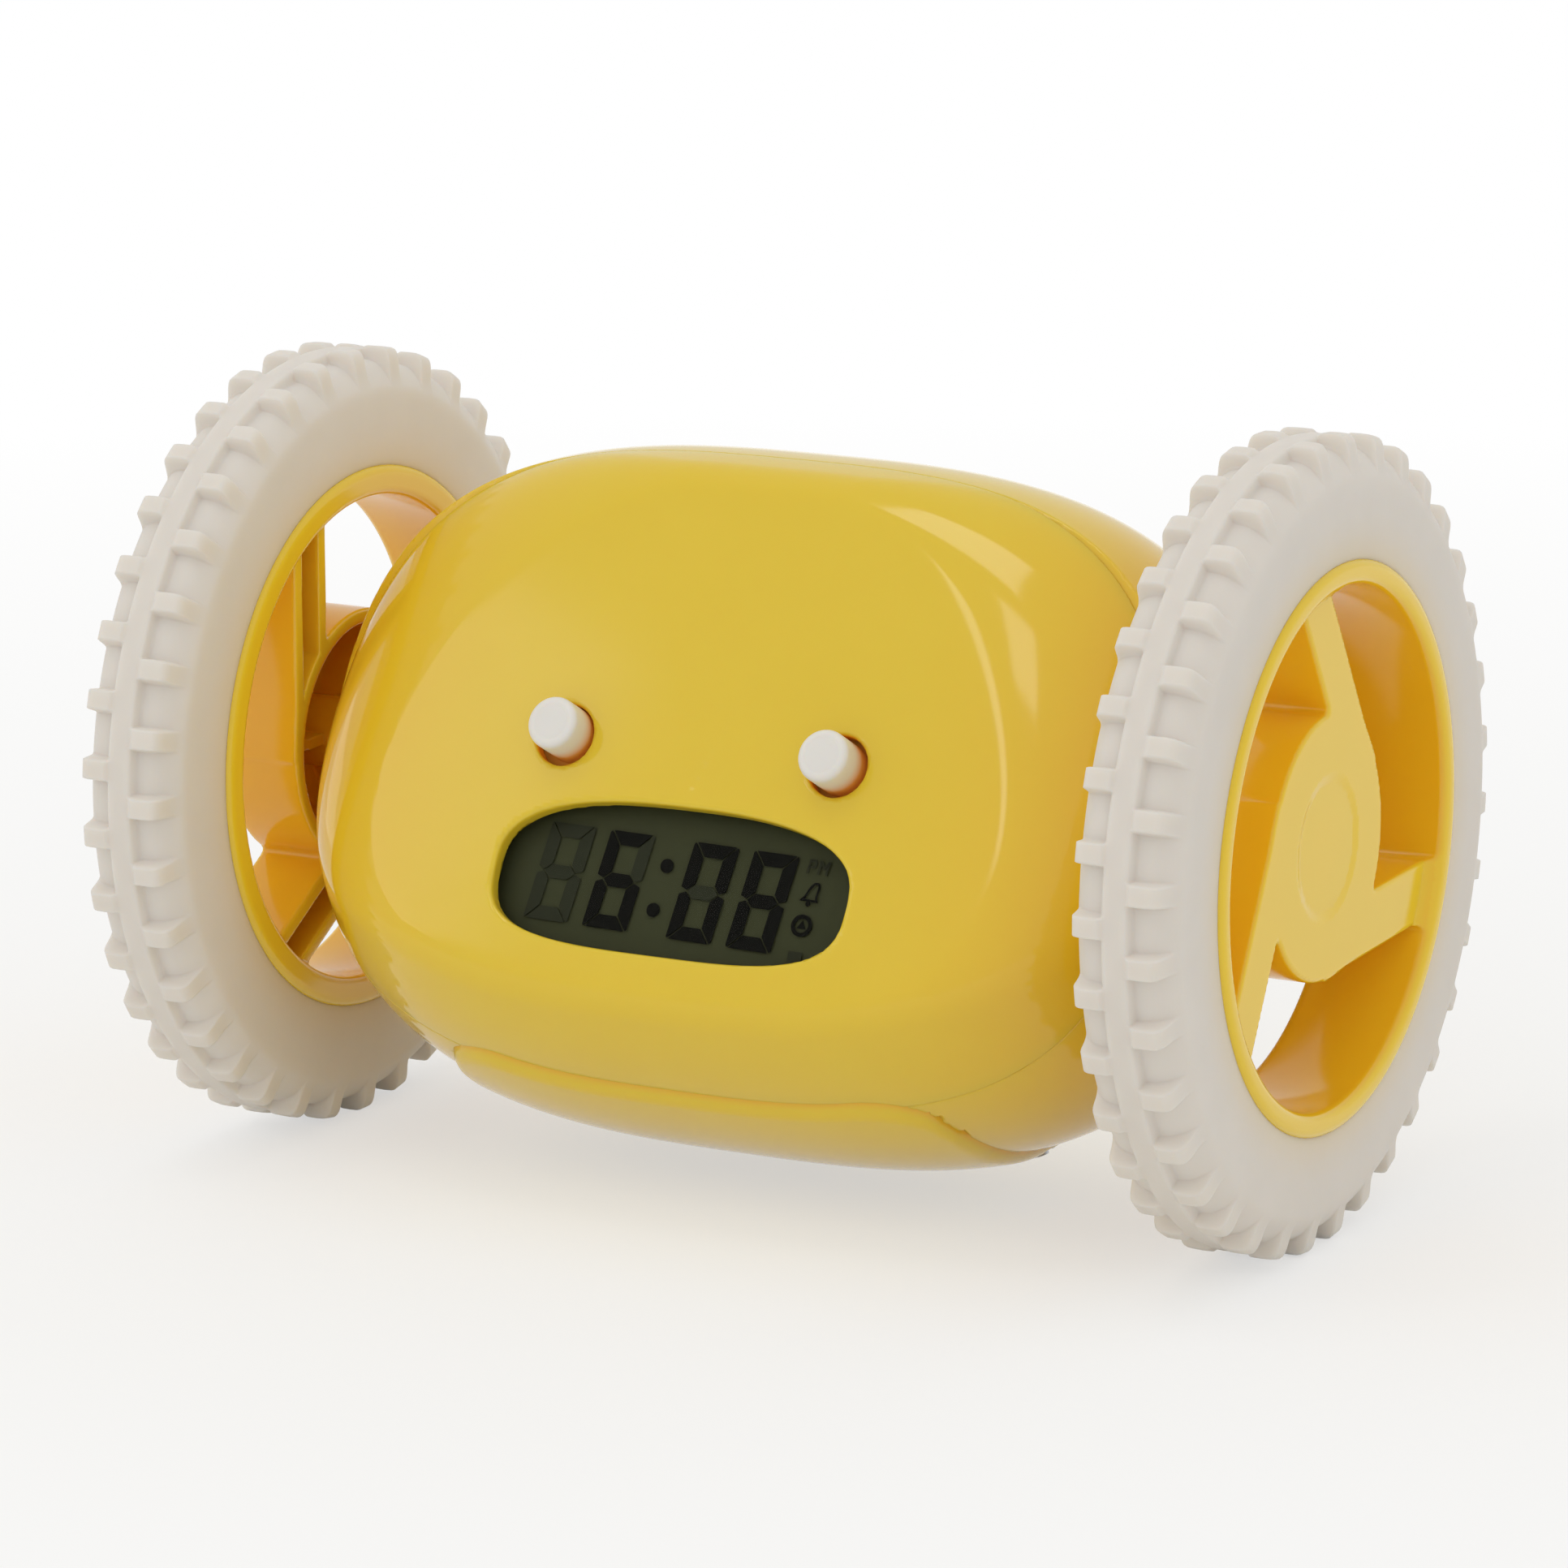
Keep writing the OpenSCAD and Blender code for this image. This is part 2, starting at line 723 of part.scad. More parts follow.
module driver_chip() {
    color("#232325") on_face() block([chip_x, board_back, window_z - chip_low],
        [chip_x + chip_w, board_back + chip_t, window_z - chip_low + chip_h]);
}

// ---------------------------------------------------------------- eye buttons

module eye_button(side) {
    color("#f0ede6") on_face() translate([side * eye_x, 0, eye_z]) {
        rod_y([0, 0], -eye_out, wall + seat_gap + flange_t, eye_r);
        rod_y([0, 0], wall + seat_gap, wall + seat_gap + flange_t, flange_r);
        rod_y([0, 0], wall + flange_t, board_depth - dome_h - seat_gap, eye_stem_r);
    }
}

module eye_dome(side) {
    color("#8f9094") on_face() translate([side * eye_x, board_depth, eye_z]) rotate([90, 0, 0]) {
        cylinder(h = 0.8, r = dome_foot_r);
        translate([0, 0, 0.8]) cylinder(h = dome_h - 1.6, r1 = dome_foot_r - 0.6, r2 = dome_top_r, $fn = 64);
        translate([0, 0, dome_h - 0.8]) cylinder(h = 0.8, r = dome_top_r);
    }
}

// ---------------------------------------------------------------- rear panel

module rear_key(side) {
    color("#f0ede6") on_back(rear_turn, rear_d) translate([side * key_x, 0, 0]) {
        rod_y([0, 0], -wall - seat_gap - 1, key_out, key_r);
        rod_y([0, 0], -wall - seat_gap - 1, -wall - seat_gap, key_flange_r);
        rod_y([0, 0], -key_board_depth + 2 + seat_gap, -wall - seat_gap, 1.6);
    }
}

module rear_dome(side) {
    color("#8f9094") on_back(rear_turn, rear_d) translate([side * key_x, 0, 0]) {
        rod_y([0, 0], -key_board_depth, -key_board_depth + 0.7, 3.2);
        rod_y([0, 0], -key_board_depth + 0.7, -key_board_depth + 2, 1.8);
    }
}

module mode_slider() {
    color("#2a2a2c") on_back(rear_turn, rear_d) {
        block([-slider_knob[0] / 2, -wall - seat_gap - 1, -slider_knob[1] / 2],
            [slider_knob[0] / 2, key_out, slider_knob[1] / 2]);
        block([-slider_knob[0] / 2 - 2, -wall - seat_gap - 1, -slider_slot[1] / 2 - 0.6],
            [slider_knob[0] / 2 + 2, -wall - seat_gap, slider_slot[1] / 2 + 0.6]);
        block([-1, -key_board_depth + 3, -1], [1, -wall - seat_gap - 1 + eps, 1]);
    }
}

module mode_switch() {
    color("#b8bbc0") on_back(rear_turn, rear_d) difference() {
        block([-5, -key_board_depth, -2.5], [5, -key_board_depth + 3.6, 2.5]);
        block([-1 - slider_travel - slide_gap, -key_board_depth + 2.5, -1 - slide_gap],
            [1 + slider_travel + slide_gap, 0, 1 + slide_gap]);
    }
}

module key_board() {
    color("#2f6b3c") on_back(rear_turn, rear_d) difference() {
        block([-key_board_w / 2, -key_board_depth - board_t, -key_board_h / 2],
            [key_board_w / 2, -key_board_depth, key_board_h / 2]);
        for (x = [-1, 1])
            rod_y([x * key_post_x, 0], -key_board_depth - board_t - 1, -key_board_depth + 1, screw_r + 0.1);
    }
}

module key_board_screws() {
    on_back(rear_turn, rear_d) for (x = [-1, 1])
        translate([x * key_post_x, -key_board_depth - board_t, 0]) rotate([-90, 0, 0])
            screw(screw_r - 0.2, key_screw_head_r, key_screw_head_t, key_screw_l);
}

// Loudspeaker: basket, magnet and cone, facing out through the slots.
module speaker() {
    front = speaker_front;
    color("#3a3a3e") on_back(speaker_turn, barrel_r) difference() {
        union() {
            rod_y([0, 0], front - basket_t, front, speaker_r);
            translate([0, front - basket_t, 0]) rotate([90, 0, 0])
                cylinder(h = speaker_t - basket_t - magnet_t + 0.2, r1 = speaker_r - 1,
                    r2 = magnet_r, $fn = 64);
            rod_y([0, 0], front - speaker_t, front - speaker_t + magnet_t, magnet_r);
        }
        rod_y([0, 0], front - cone_depth, front + 1, speaker_r - basket_lip);
    }
}

// ---------------------------------------------------------------- batteries

module at_cells() {
    for (i = [0 : 3]) translate([0, (i - 1.5) * cell_pitch, cell_z])
        rotate([0, 0, i % 2 == 0 ? 0 : 180]) children();
}

// Each cell's button points to +X before it is turned.
module battery_cells() {
    color("#3a4450") at_cells() {
        rod_x([0, 0], -cell_l / 2, cell_l / 2 - pole_l, cell_r);
        rod_x([0, 0], cell_l / 2 - pole_l, cell_l / 2, pole_r);
    }
}

module battery_springs() {
    color("#c9ccd1") at_cells() translate([-cell_l / 2, 0, 0]) rotate([0, -90, 0]) difference() {
        cylinder(h = spring_l, r1 = spring_tip_r, r2 = spring_foot_r, $fn = 64);
        translate([0, 0, -eps]) cylinder(h = spring_l + 2 * eps, r1 = spring_tip_r - spring_wire,
            r2 = spring_foot_r - spring_wire, $fn = 64);
    }
}

module battery_contacts() {
    color("#c9ccd1") at_cells() {
        block([-cell_l / 2 - spring_l - plate_t, -plate_half_w, -plate_half_h],
            [-cell_l / 2 - spring_l, plate_half_w, plate_half_h + plate_tab]);
        block([cell_l / 2, -pole_plate, -pole_plate], [tray_half_w - 0.2, pole_plate, pole_plate]);
    }
}

// ---------------------------------------------------------------- drive, drawn for the right side

module case_outline(grow) {
    circle(r = wheel_tip_r + 0.5 + grow);
    translate(idler_at) circle(r = wheel_tip_r + 0.5 + grow);
    translate(motor_at) circle(r = pinion_tip_r + 0.8 + grow);
}

module gear_case(side) {
    color("#d9dadd") mirror([side < 0 ? 1 : 0, 0, 0]) difference() {
        union() {
            along_x(case_in, case_end - case_in) case_outline(case_wall);
            for (ear = [ear_low, ear_high]) {
                hinge = ear == ear_low ? [ear[0], ear[1] + 4] : [ear[0], ear[1] - 5];
                rod_y([ear_x, ear[1]], ear[0], ear[0] + ear_t, ear_r);
                block([ear_x - ear_r, ear[0], min(ear[1], hinge[1])],
                    [ear_x + ear_r, ear[0] + ear_t, max(ear[1], hinge[1])]);
            }
        }
        along_x(case_in - 1, case_out - case_in + 1) case_outline(0);
        rod_x([0, 0], case_in, case_end + 1, axle_r + run_gap);
        rod_x(idler_at, case_in, case_out + 0.8, pin_r);
        for (ear = [ear_low, ear_high]) rod_y([ear_x, ear[1]], ear[0] - 1, ear[0] + ear_t + 1, screw_r + 0.1);
    }
}

module gear_cover(side) {
    color("#d9dadd") mirror([side < 0 ? 1 : 0, 0, 0]) difference() {
        along_x(case_x, case_wall) case_outline(case_wall);
        rod_x([0, 0], case_x - 1, case_in + 1, axle_r + run_gap);
        rod_x(idler_at, case_x + 0.5, case_in + 1, pin_r);
        rod_x(motor_at, case_x - 1, case_in + 1, 3.05);
    }
}

module case_screws() {
    for (side = [-1, 1], ear = [ear_low, ear_high]) translate([side * ear_x, ear[0], ear[1]])
        rotate([-90, 0, 0]) screw(screw_r - 0.2, screw_head_r, screw_head_t, 7);
}

module idler_pin(side) {
    color("#c9ccd1") mirror([side < 0 ? 1 : 0, 0, 0]) rod_x(idler_at, case_x + 0.5, case_out + 0.8, pin_r);
}

module motor(side) {
    color("#c4c7cb") mirror([side < 0 ? 1 : 0, 0, 0]) difference() {
        union() {
            along_x(case_x - motor_l, motor_l) intersection() {
                translate(motor_at) circle(r = motor_w / 2);
                translate(motor_at) square([motor_w + 1, motor_t], center = true);
            }
            rod_x(motor_at, case_x - eps, case_in, 3);
            for (s = [-1, 1]) block([case_x - motor_l - 2.4, motor_at[0] + s * 5 - 0.3, motor_at[1] - 1],
                [case_x - motor_l + eps, motor_at[0] + s * 5 + 0.3, motor_at[1] + 1]);
        }
        rod_x(motor_at, case_x - 8, case_in + 1, 1 + run_gap);
    }
}

module motor_pinion(side) {
    color("#c79a4b") mirror([side < 0 ? 1 : 0, 0, 0]) difference() {
        translate([first_x, motor_at[0], motor_at[1]]) rotate([90, 0, 90]) linear_extrude(gear_w)
            rotate(motor_turn + 180 + 180 / pinion_teeth) polygon(gear_outline(pinion_teeth));
        rod_x(motor_at, case_x, case_end, 1);
    }
}

module motor_shaft(side) {
    color("#c9ccd1") mirror([side < 0 ? 1 : 0, 0, 0])
        rod_x(motor_at, case_x - 8 + 0.1, first_x + gear_w + 0.2, 1);
}

module idler_gear(side) {
    color("#f2f0ea") mirror([side < 0 ? 1 : 0, 0, 0]) difference() {
        translate([0, idler_at[0], idler_at[1]]) {
            along_x(first_x, gear_w) rotate(motor_turn) polygon(gear_outline(wheel_teeth));
            along_x(first_x + gear_w - eps, gear_gap + gear_w + eps)
                rotate(idler_turn + 180 + 180 / pinion_teeth) polygon(gear_outline(pinion_teeth));
        }
        rod_x(idler_at, case_in, case_out + 1, pin_r + run_gap);
    }
}

module output_gear(side) {
    color("#f2f0ea") mirror([side < 0 ? 1 : 0, 0, 0]) difference() {
        union() {
            along_x(second_x, gear_w) rotate(idler_turn) polygon(gear_outline(wheel_teeth));
            rod_x([0, 0], first_x, second_x + eps, axle_r + 0.7);
        }
        rod_x([0, 0], case_in, case_end, axle_r);
    }
}

module axle(side) {
    color("#c9ccd1") mirror([side < 0 ? 1 : 0, 0, 0])
        rod_x([0, 0], case_x - 0.5, hub_face - hub_wall - 0.5, axle_r);
}

module axle_bush(side) {
    color("#b98a3c") mirror([side < 0 ? 1 : 0, 0, 0]) difference() {
        union() {
            rod_x([0, 0], collar_in - eps, bush_end, bush_r);
            rod_x([0, 0], collar_in - bush_flange_t, collar_in, bush_flange_r);
        }
        rod_x([0, 0], collar_in - bush_flange_t - 1, bush_end + 1, axle_r + run_gap);
    }
}

// ---------------------------------------------------------------- wheels, drawn for the right side

module spoke() {
    reach = rim_open_r;
    // face plate
    block([hub_face - hub_wall, 0, -spoke_out], [hub_face, reach, -spoke_in]);
    // two webs
    block([hub_back, 0, -spoke_out], [hub_face, reach, -spoke_out + hub_wall]);
    block([hub_back, 0, -spoke_in - hub_wall], [hub_face, reach, -spoke_in]);
}

module wheel_rim(spoke_turn) {
    inner_open = rim_open_r - rim_draft;
    chamfer = 0.35;
    color("#ebc332") difference() {
        union() {
            turned([
                [inner_open, rim_back], [lip_r - chamfer, rim_back], [lip_r, rim_back + chamfer],
                [lip_r, rim_back + lip_w], [seat_r, rim_back + lip_w],
                [seat_r, rim_face - lip_w], [lip_r, rim_face - lip_w],
                [lip_r, rim_face - chamfer], [lip_r - chamfer, rim_face], [rim_open_r, rim_face]
            ]);
            intersection() {
                for (i = [0 : 2]) rotate([spoke_turn + i * 120, 0, 0]) spoke();
                rod_x([0, 0], hub_back, hub_face, inner_open + 0.8);
            }
            rod_x([0, 0], hub_back, hub_face, hub_r);
        }
        difference() {
            rod_x([0, 0], hub_back - 1, hub_face - hub_wall, hub_r - hub_wall);
            rod_x([0, 0], hub_back + 0.5, hub_face, boss_r);
            for (i = [0 : 2]) rotate([spoke_turn + i * 120 + 30, 0, 0])
                block([hub_back + 3, 0, -0.7], [hub_face, hub_r, 0.7]);
        }
        rod_x([0, 0], hub_back - 1, hub_face - hub_wall - 0.5, axle_r);
        rod_x([0, 0], hub_face - dimple_depth, hub_face + 1, dimple_r);
    }
}

// A ring of lugs on one side of the centre band, as one toothed disc.
module lug_row(start, width, first) {
    tip = wheel_r / cos(lug_half_turn);
    along_x(start, width) difference() {
        polygon([for (i = [0 : lug_count - 1], k = [0 : 3]) let(
            turn = first + i * lug_turn + [-1, -1, 1, 1][k] * lug_half_turn,
            r = [tread_base_r, tip, tip, tread_base_r][k]
        ) polar(r, turn)]);
        circle(r = seat_r + 2);
    }
}

module wheel_tyre() {
    low = rim_mid - tyre_w / 2;
    high = rim_mid + tyre_w / 2;
    shoulder = 1.2;
    row_w = (tread_w - band_w) / 2;
    color("#d6d0c8") {
        turned([
            [seat_r, rim_back + lip_w], [lip_r, rim_back + lip_w], [lip_r, low], [tread_base_r - 3, low],
            [tread_base_r, low + shoulder], [tread_base_r, high - shoulder], [tread_base_r - 3, high],
            [lip_r, high], [lip_r, rim_face - lip_w], [seat_r, rim_face - lip_w]
        ]);
        lug_row(rim_mid - tread_w / 2, row_w + eps, -90);
        lug_row(rim_mid + band_w / 2 - eps, row_w + eps, -90 + lug_turn / 2);
        along_x(rim_mid - band_w / 2, band_w) difference() {
            circle(r = wheel_r - 0.4);
            circle(r = seat_r + 2);
        }
    }
}

// The left wheel is the right one turned round.
module on_side(side) {
    rotate([0, 0, side < 0 ? 180 : 0]) children();
}

module at_axle() {
    translate([0, 0, wheel_r]) children();
}

at_axle() front_shell();
at_axle() rear_shell();
at_axle() battery_door();
at_axle() door_screw();
at_axle() shell_screws();
at_axle() display_lens();
at_axle() lcd_panel();
at_axle() lcd_holder();
at_axle() contact_strip();
at_axle() main_board();
at_axle() board_screws();
at_axle() clock_chip();
at_axle() quartz_crystal();
at_axle() power_capacitor();
at_axle() driver_chip();
at_axle() eye_button(-1);  // left_eye_button
at_axle() eye_button(1);  // right_eye_button
at_axle() eye_dome(-1);  // left_eye_dome
at_axle() eye_dome(1);  // right_eye_dome
at_axle() rear_key(1);  // time_key
at_axle() rear_key(-1);  // alarm_key
at_axle() rear_dome(1);  // time_key_dome
at_axle() rear_dome(-1);  // alarm_key_dome
at_axle() mode_slider();
at_axle() mode_switch();
at_axle() key_board();
at_axle() key_board_screws();
at_axle() speaker();
at_axle() battery_cells();
at_axle() battery_springs();
at_axle() battery_contacts();
at_axle() gear_case(-1);  // left_gear_case
at_axle() gear_case(1);  // right_gear_case
at_axle() gear_cover(-1);  // left_gear_cover
at_axle() gear_cover(1);  // right_gear_cover
at_axle() case_screws();
at_axle() idler_pin(-1);  // left_idler_pin
at_axle() idler_pin(1);  // right_idler_pin
at_axle() motor(-1);  // left_motor
at_axle() motor(1);  // right_motor
at_axle() motor_shaft(-1);  // left_motor_shaft
at_axle() motor_shaft(1);  // right_motor_shaft
at_axle() motor_pinion(-1);  // left_motor_pinion
at_axle() motor_pinion(1);  // right_motor_pinion
at_axle() idler_gear(-1);  // left_idler_gear
at_axle() idler_gear(1);  // right_idler_gear
at_axle() output_gear(-1);  // left_output_gear
at_axle() output_gear(1);  // right_output_gear
at_axle() axle(-1);  // left_axle
at_axle() axle(1);  // right_axle
at_axle() axle_bush(-1);  // left_axle_bush
at_axle() axle_bush(1);  // right_axle_bush
at_axle() on_side(-1) wheel_rim(left_spoke_turn);  // left_rim
at_axle() wheel_rim(right_spoke_turn);  // right_rim
at_axle() on_side(-1) wheel_tyre();  // left_tyre
at_axle() wheel_tyre();  // right_tyre
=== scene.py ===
"""Looks of a two-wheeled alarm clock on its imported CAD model. Lengths are in millimetres until they
become mesh points, which are in metres. Row frame: X along the axle, +Z up, the face looks to -Y."""

import bpy
import numpy as np
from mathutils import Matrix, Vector


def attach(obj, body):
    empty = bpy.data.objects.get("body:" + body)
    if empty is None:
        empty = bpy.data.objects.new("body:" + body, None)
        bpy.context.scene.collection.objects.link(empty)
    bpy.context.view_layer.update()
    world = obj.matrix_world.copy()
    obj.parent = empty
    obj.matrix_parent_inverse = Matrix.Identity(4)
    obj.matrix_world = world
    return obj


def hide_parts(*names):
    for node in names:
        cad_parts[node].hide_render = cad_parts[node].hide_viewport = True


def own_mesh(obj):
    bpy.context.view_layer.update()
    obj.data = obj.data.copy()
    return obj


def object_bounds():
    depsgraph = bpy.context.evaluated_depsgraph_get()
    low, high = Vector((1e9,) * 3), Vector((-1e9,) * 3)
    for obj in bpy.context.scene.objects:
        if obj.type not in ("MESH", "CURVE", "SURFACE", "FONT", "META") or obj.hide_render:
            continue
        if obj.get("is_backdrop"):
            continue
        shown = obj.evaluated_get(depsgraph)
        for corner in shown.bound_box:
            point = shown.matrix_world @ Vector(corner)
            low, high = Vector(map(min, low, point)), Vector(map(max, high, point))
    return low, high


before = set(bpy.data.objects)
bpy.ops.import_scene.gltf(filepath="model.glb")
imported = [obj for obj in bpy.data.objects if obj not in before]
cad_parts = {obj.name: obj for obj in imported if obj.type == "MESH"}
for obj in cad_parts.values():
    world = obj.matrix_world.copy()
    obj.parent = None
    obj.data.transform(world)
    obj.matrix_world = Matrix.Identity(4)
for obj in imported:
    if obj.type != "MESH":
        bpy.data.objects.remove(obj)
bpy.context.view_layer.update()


# ---------------------------------------------------------------- front shell
# Moulded in glossy yellow ABS, about 2 mm thick: a barrel cut by a flat, tilted face that bends
# softly into the cheeks. It carries the display window, the eye holes and the posts of the main
# board, and four screws from behind hold it to the rear shell.

MM = 0.001
AXLE_Z = 45.0  # the axle's height above the floor; every height below is counted from the axle
FACE_TILT, FACE_D = np.radians(28), 23.1
SEAM_TILT, SEAM_D = np.radians(22), 14.0
BARREL_R, BARREL_HALF_W = 39.1, 53.0
BARREL_Y, BARREL_Z = 0.5, -1.85
WALL = 2.0
WALL_MID = 1.0  # how deep posts and ribs reach into the wall that carries them
FACE_MID_Z = -8.0  # the middle of the flat, up the face from the axle
WINDOW_HALF_W, WINDOW_HALF_H, WINDOW_Z = 21.75, 8.45, -17.9
EYE_X, EYE_Z, EYE_HOLE_R = 17.0, -2.85, 3.5
EYE_COLLAR_R, EYE_COLLAR_BORE_R, EYE_COLLAR_BACK = 5.3, 4.5, 4.3
SHELL_POSTS = ((25.6, 23.5), (40.0, -21.5))  # X and height along the seam
SHELL_POST_R, PILOT_R, PILOT_END = 3.0, 1.0, -5  # the screw's bore reaches 5 mm past the seam
BOARD_POSTS = ((26.2, 6.7), (26.2, -25.7))  # X and height along the face
BOARD_POST_R, BOARD_PILOT_R, BOARD_DEPTH = 2.0, 0.8, 12
DOOR_HALF_W, DOOR_HALF_D, TRAY_TOP = 33.0, 27.5, -22.85
DOOR_LAP = 0.6  # how far the opening lies inside the door's edge
DOOR_CUT, DOOR_CUT_NORMAL = (33.0, -20.3), (0.848, -0.530)  # X and Y of the cut front corner


def smax(a, b, k):
    """The larger of a and b, with the corner between them rounded over k millimetres: where they
    differ by less than k, the square of what is missing, over 4k, is added."""
    short = np.maximum(k - np.abs(a - b), 0)
    return np.maximum(a, b) + short * short / (4 * k)


def smin(a, b, k):
    """The smaller of a and b, with a fillet of k millimetres."""
    return -smax(-a, -b, k)


def meet(*fields):
    """What lies in all of several solids, with sharp corners."""
    out = fields[0]
    for field in fields[1:]:
        out = np.maximum(out, field)
    return out


def barrel(x, y, z):
    """Signed distance from the barrel, a superellipse turned about X: the cube root of
    (radius/39.1)^3 + (|X|/53)^3 less one, over the length of its slope."""
    rho = np.sqrt((y - BARREL_Y) ** 2 + (z - BARREL_Z) ** 2) + 1e-6
    u, v = rho / BARREL_R, np.abs(x) / BARREL_HALF_W
    h = np.cbrt(u ** 3 + v ** 3)
    slope = np.sqrt((u * u / BARREL_R) ** 2 + (v * v / BARREL_HALF_W) ** 2) / (h * h)
    return (h - 1) / slope


def from_face(depth, up):
    """Y and Z from the depth behind the face and the height along it."""
    y = depth - FACE_D
    return (y * np.cos(FACE_TILT) + up * np.sin(FACE_TILT),
            -y * np.sin(FACE_TILT) + up * np.cos(FACE_TILT))


def to_face(y, z):
    """Depth behind the face and height along it."""
    return (y * np.cos(FACE_TILT) - z * np.sin(FACE_TILT) + FACE_D,
            y * np.sin(FACE_TILT) + z * np.cos(FACE_TILT))


def from_seam(s, t):
    """Y and Z from the distance behind the seam and the height along it."""
    y = s - SEAM_D
    return (y * np.cos(SEAM_TILT) + t * np.sin(SEAM_TILT),
            -y * np.sin(SEAM_TILT) + t * np.cos(SEAM_TILT))


# The flat of the face ends on an egg-shaped line, a sum of seven waves of the direction from its
# middle. The bend starts there, so it is as wide as the barrel lies below the face at that line.
bend_turn = np.linspace(-np.pi, np.pi, 361)
ridge_r = (34.333 + 4.186 * np.cos(2 * bend_turn) + 0.141 * np.cos(4 * bend_turn)
           - 0.067 * np.cos(6 * bend_turn) + 4.87 * np.sin(bend_turn)
           - 1.832 * np.sin(3 * bend_turn) - 0.539 * np.sin(5 * bend_turn))
ridge_y, ridge_z = from_face(0.0, FACE_MID_Z + ridge_r * np.sin(bend_turn))
bend_width = np.maximum(-barrel(ridge_r * np.cos(bend_turn), ridge_y, ridge_z), 1.5)


def body(x, y, z):
    """Signed distance from the closed body: the face plane and the barrel, rounded together. The
    rounding runs 7% of its width over the face, which then cuts it with a crease 2 mm wide. A
    rounding of 1.6 widths puts that crease back on the line where the flat ends."""
    depth, up = to_face(y, z)
    wide = np.interp(np.arctan2(up - FACE_MID_Z, x), bend_turn, bend_width)
    bent = smax(-depth, barrel(x, y, z) + 0.07 * wide, 1.6 * wide) - 0.07 * wide
    return smax(-depth, bent, 0.15)


def window(x, up):
    """Signed distance from the window's outline, a superellipse: power 2.6 above its middle line
    and 3.4 below, its value less one over the length of its slope."""
    v = up - WINDOW_Z
    n = np.where(v > 0, 2.6, 3.4)
    a, b = np.abs(x) / WINDOW_HALF_W + 1e-4, np.abs(v) / WINDOW_HALF_H + 1e-4
    h = (a ** n + b ** n) ** (1 / n)
    slope = h ** (1 - n) * np.sqrt((a ** (n - 1) / WINDOW_HALF_W) ** 2 + (b ** (n - 1) / WINDOW_HALF_H) ** 2)
    return (h - 1) / slope


def door_outline(x, y):
    """Signed distance from the battery door's outline, a rectangle with its two front corners cut
    and every corner rounded."""
    cut = (np.abs(x) - DOOR_CUT[0]) * DOOR_CUT_NORMAL[0] + (y - DOOR_CUT[1]) * DOOR_CUT_NORMAL[1]
    box = smax(np.abs(x) - DOOR_HALF_W, np.abs(y) - DOOR_HALF_D, 1.5)
    return smax(box, cut, 6.0)


def front_field(x, s, t):
    """Signed distance from the front shell, in the seam's frame."""
    y, z = from_seam(s, t)
    depth, up = to_face(y, z)
    outside = body(x, y, z)
    solid = smax(outside, -(outside + WALL), 0.3)
    for post_x, post_t in SHELL_POSTS:
        away = np.sqrt((np.abs(x) - post_x) ** 2 + (t - post_t) ** 2)
        pilot = PILOT_R - away - 90 * (s < PILOT_END)
        solid = smin(solid, meet(away - SHELL_POST_R, outside + WALL_MID, pilot), 0.6)
    for post_x, post_up in BOARD_POSTS:
        away = np.sqrt((np.abs(x) - post_x) ** 2 + (up - post_up) ** 2)
        post = meet(away - BOARD_POST_R, BOARD_PILOT_R - away, WALL_MID - depth, depth - BOARD_DEPTH)
        solid = smin(solid, post, 0.5)
    from_eye = np.sqrt((np.abs(x) - EYE_X) ** 2 + (up - EYE_Z) ** 2)
    collar = meet(from_eye - EYE_COLLAR_R, WALL_MID - depth, depth - EYE_COLLAR_BACK)
    solid = smin(solid, collar, 0.4)
    solid = smax(solid, EYE_HOLE_R - from_eye, 0.5)
    solid = smax(solid, -meet(from_eye - EYE_COLLAR_BORE_R, WALL - depth), 0.2)
    solid = smax(solid, -window(x, up), np.where(depth < WALL_MID, 0.5, 0.4))
    solid = smax(solid, -meet(door_outline(x, y) + DOOR_LAP, z - TRAY_TOP), 0.4)
    return smax(solid, s + 0.02, 0.15)


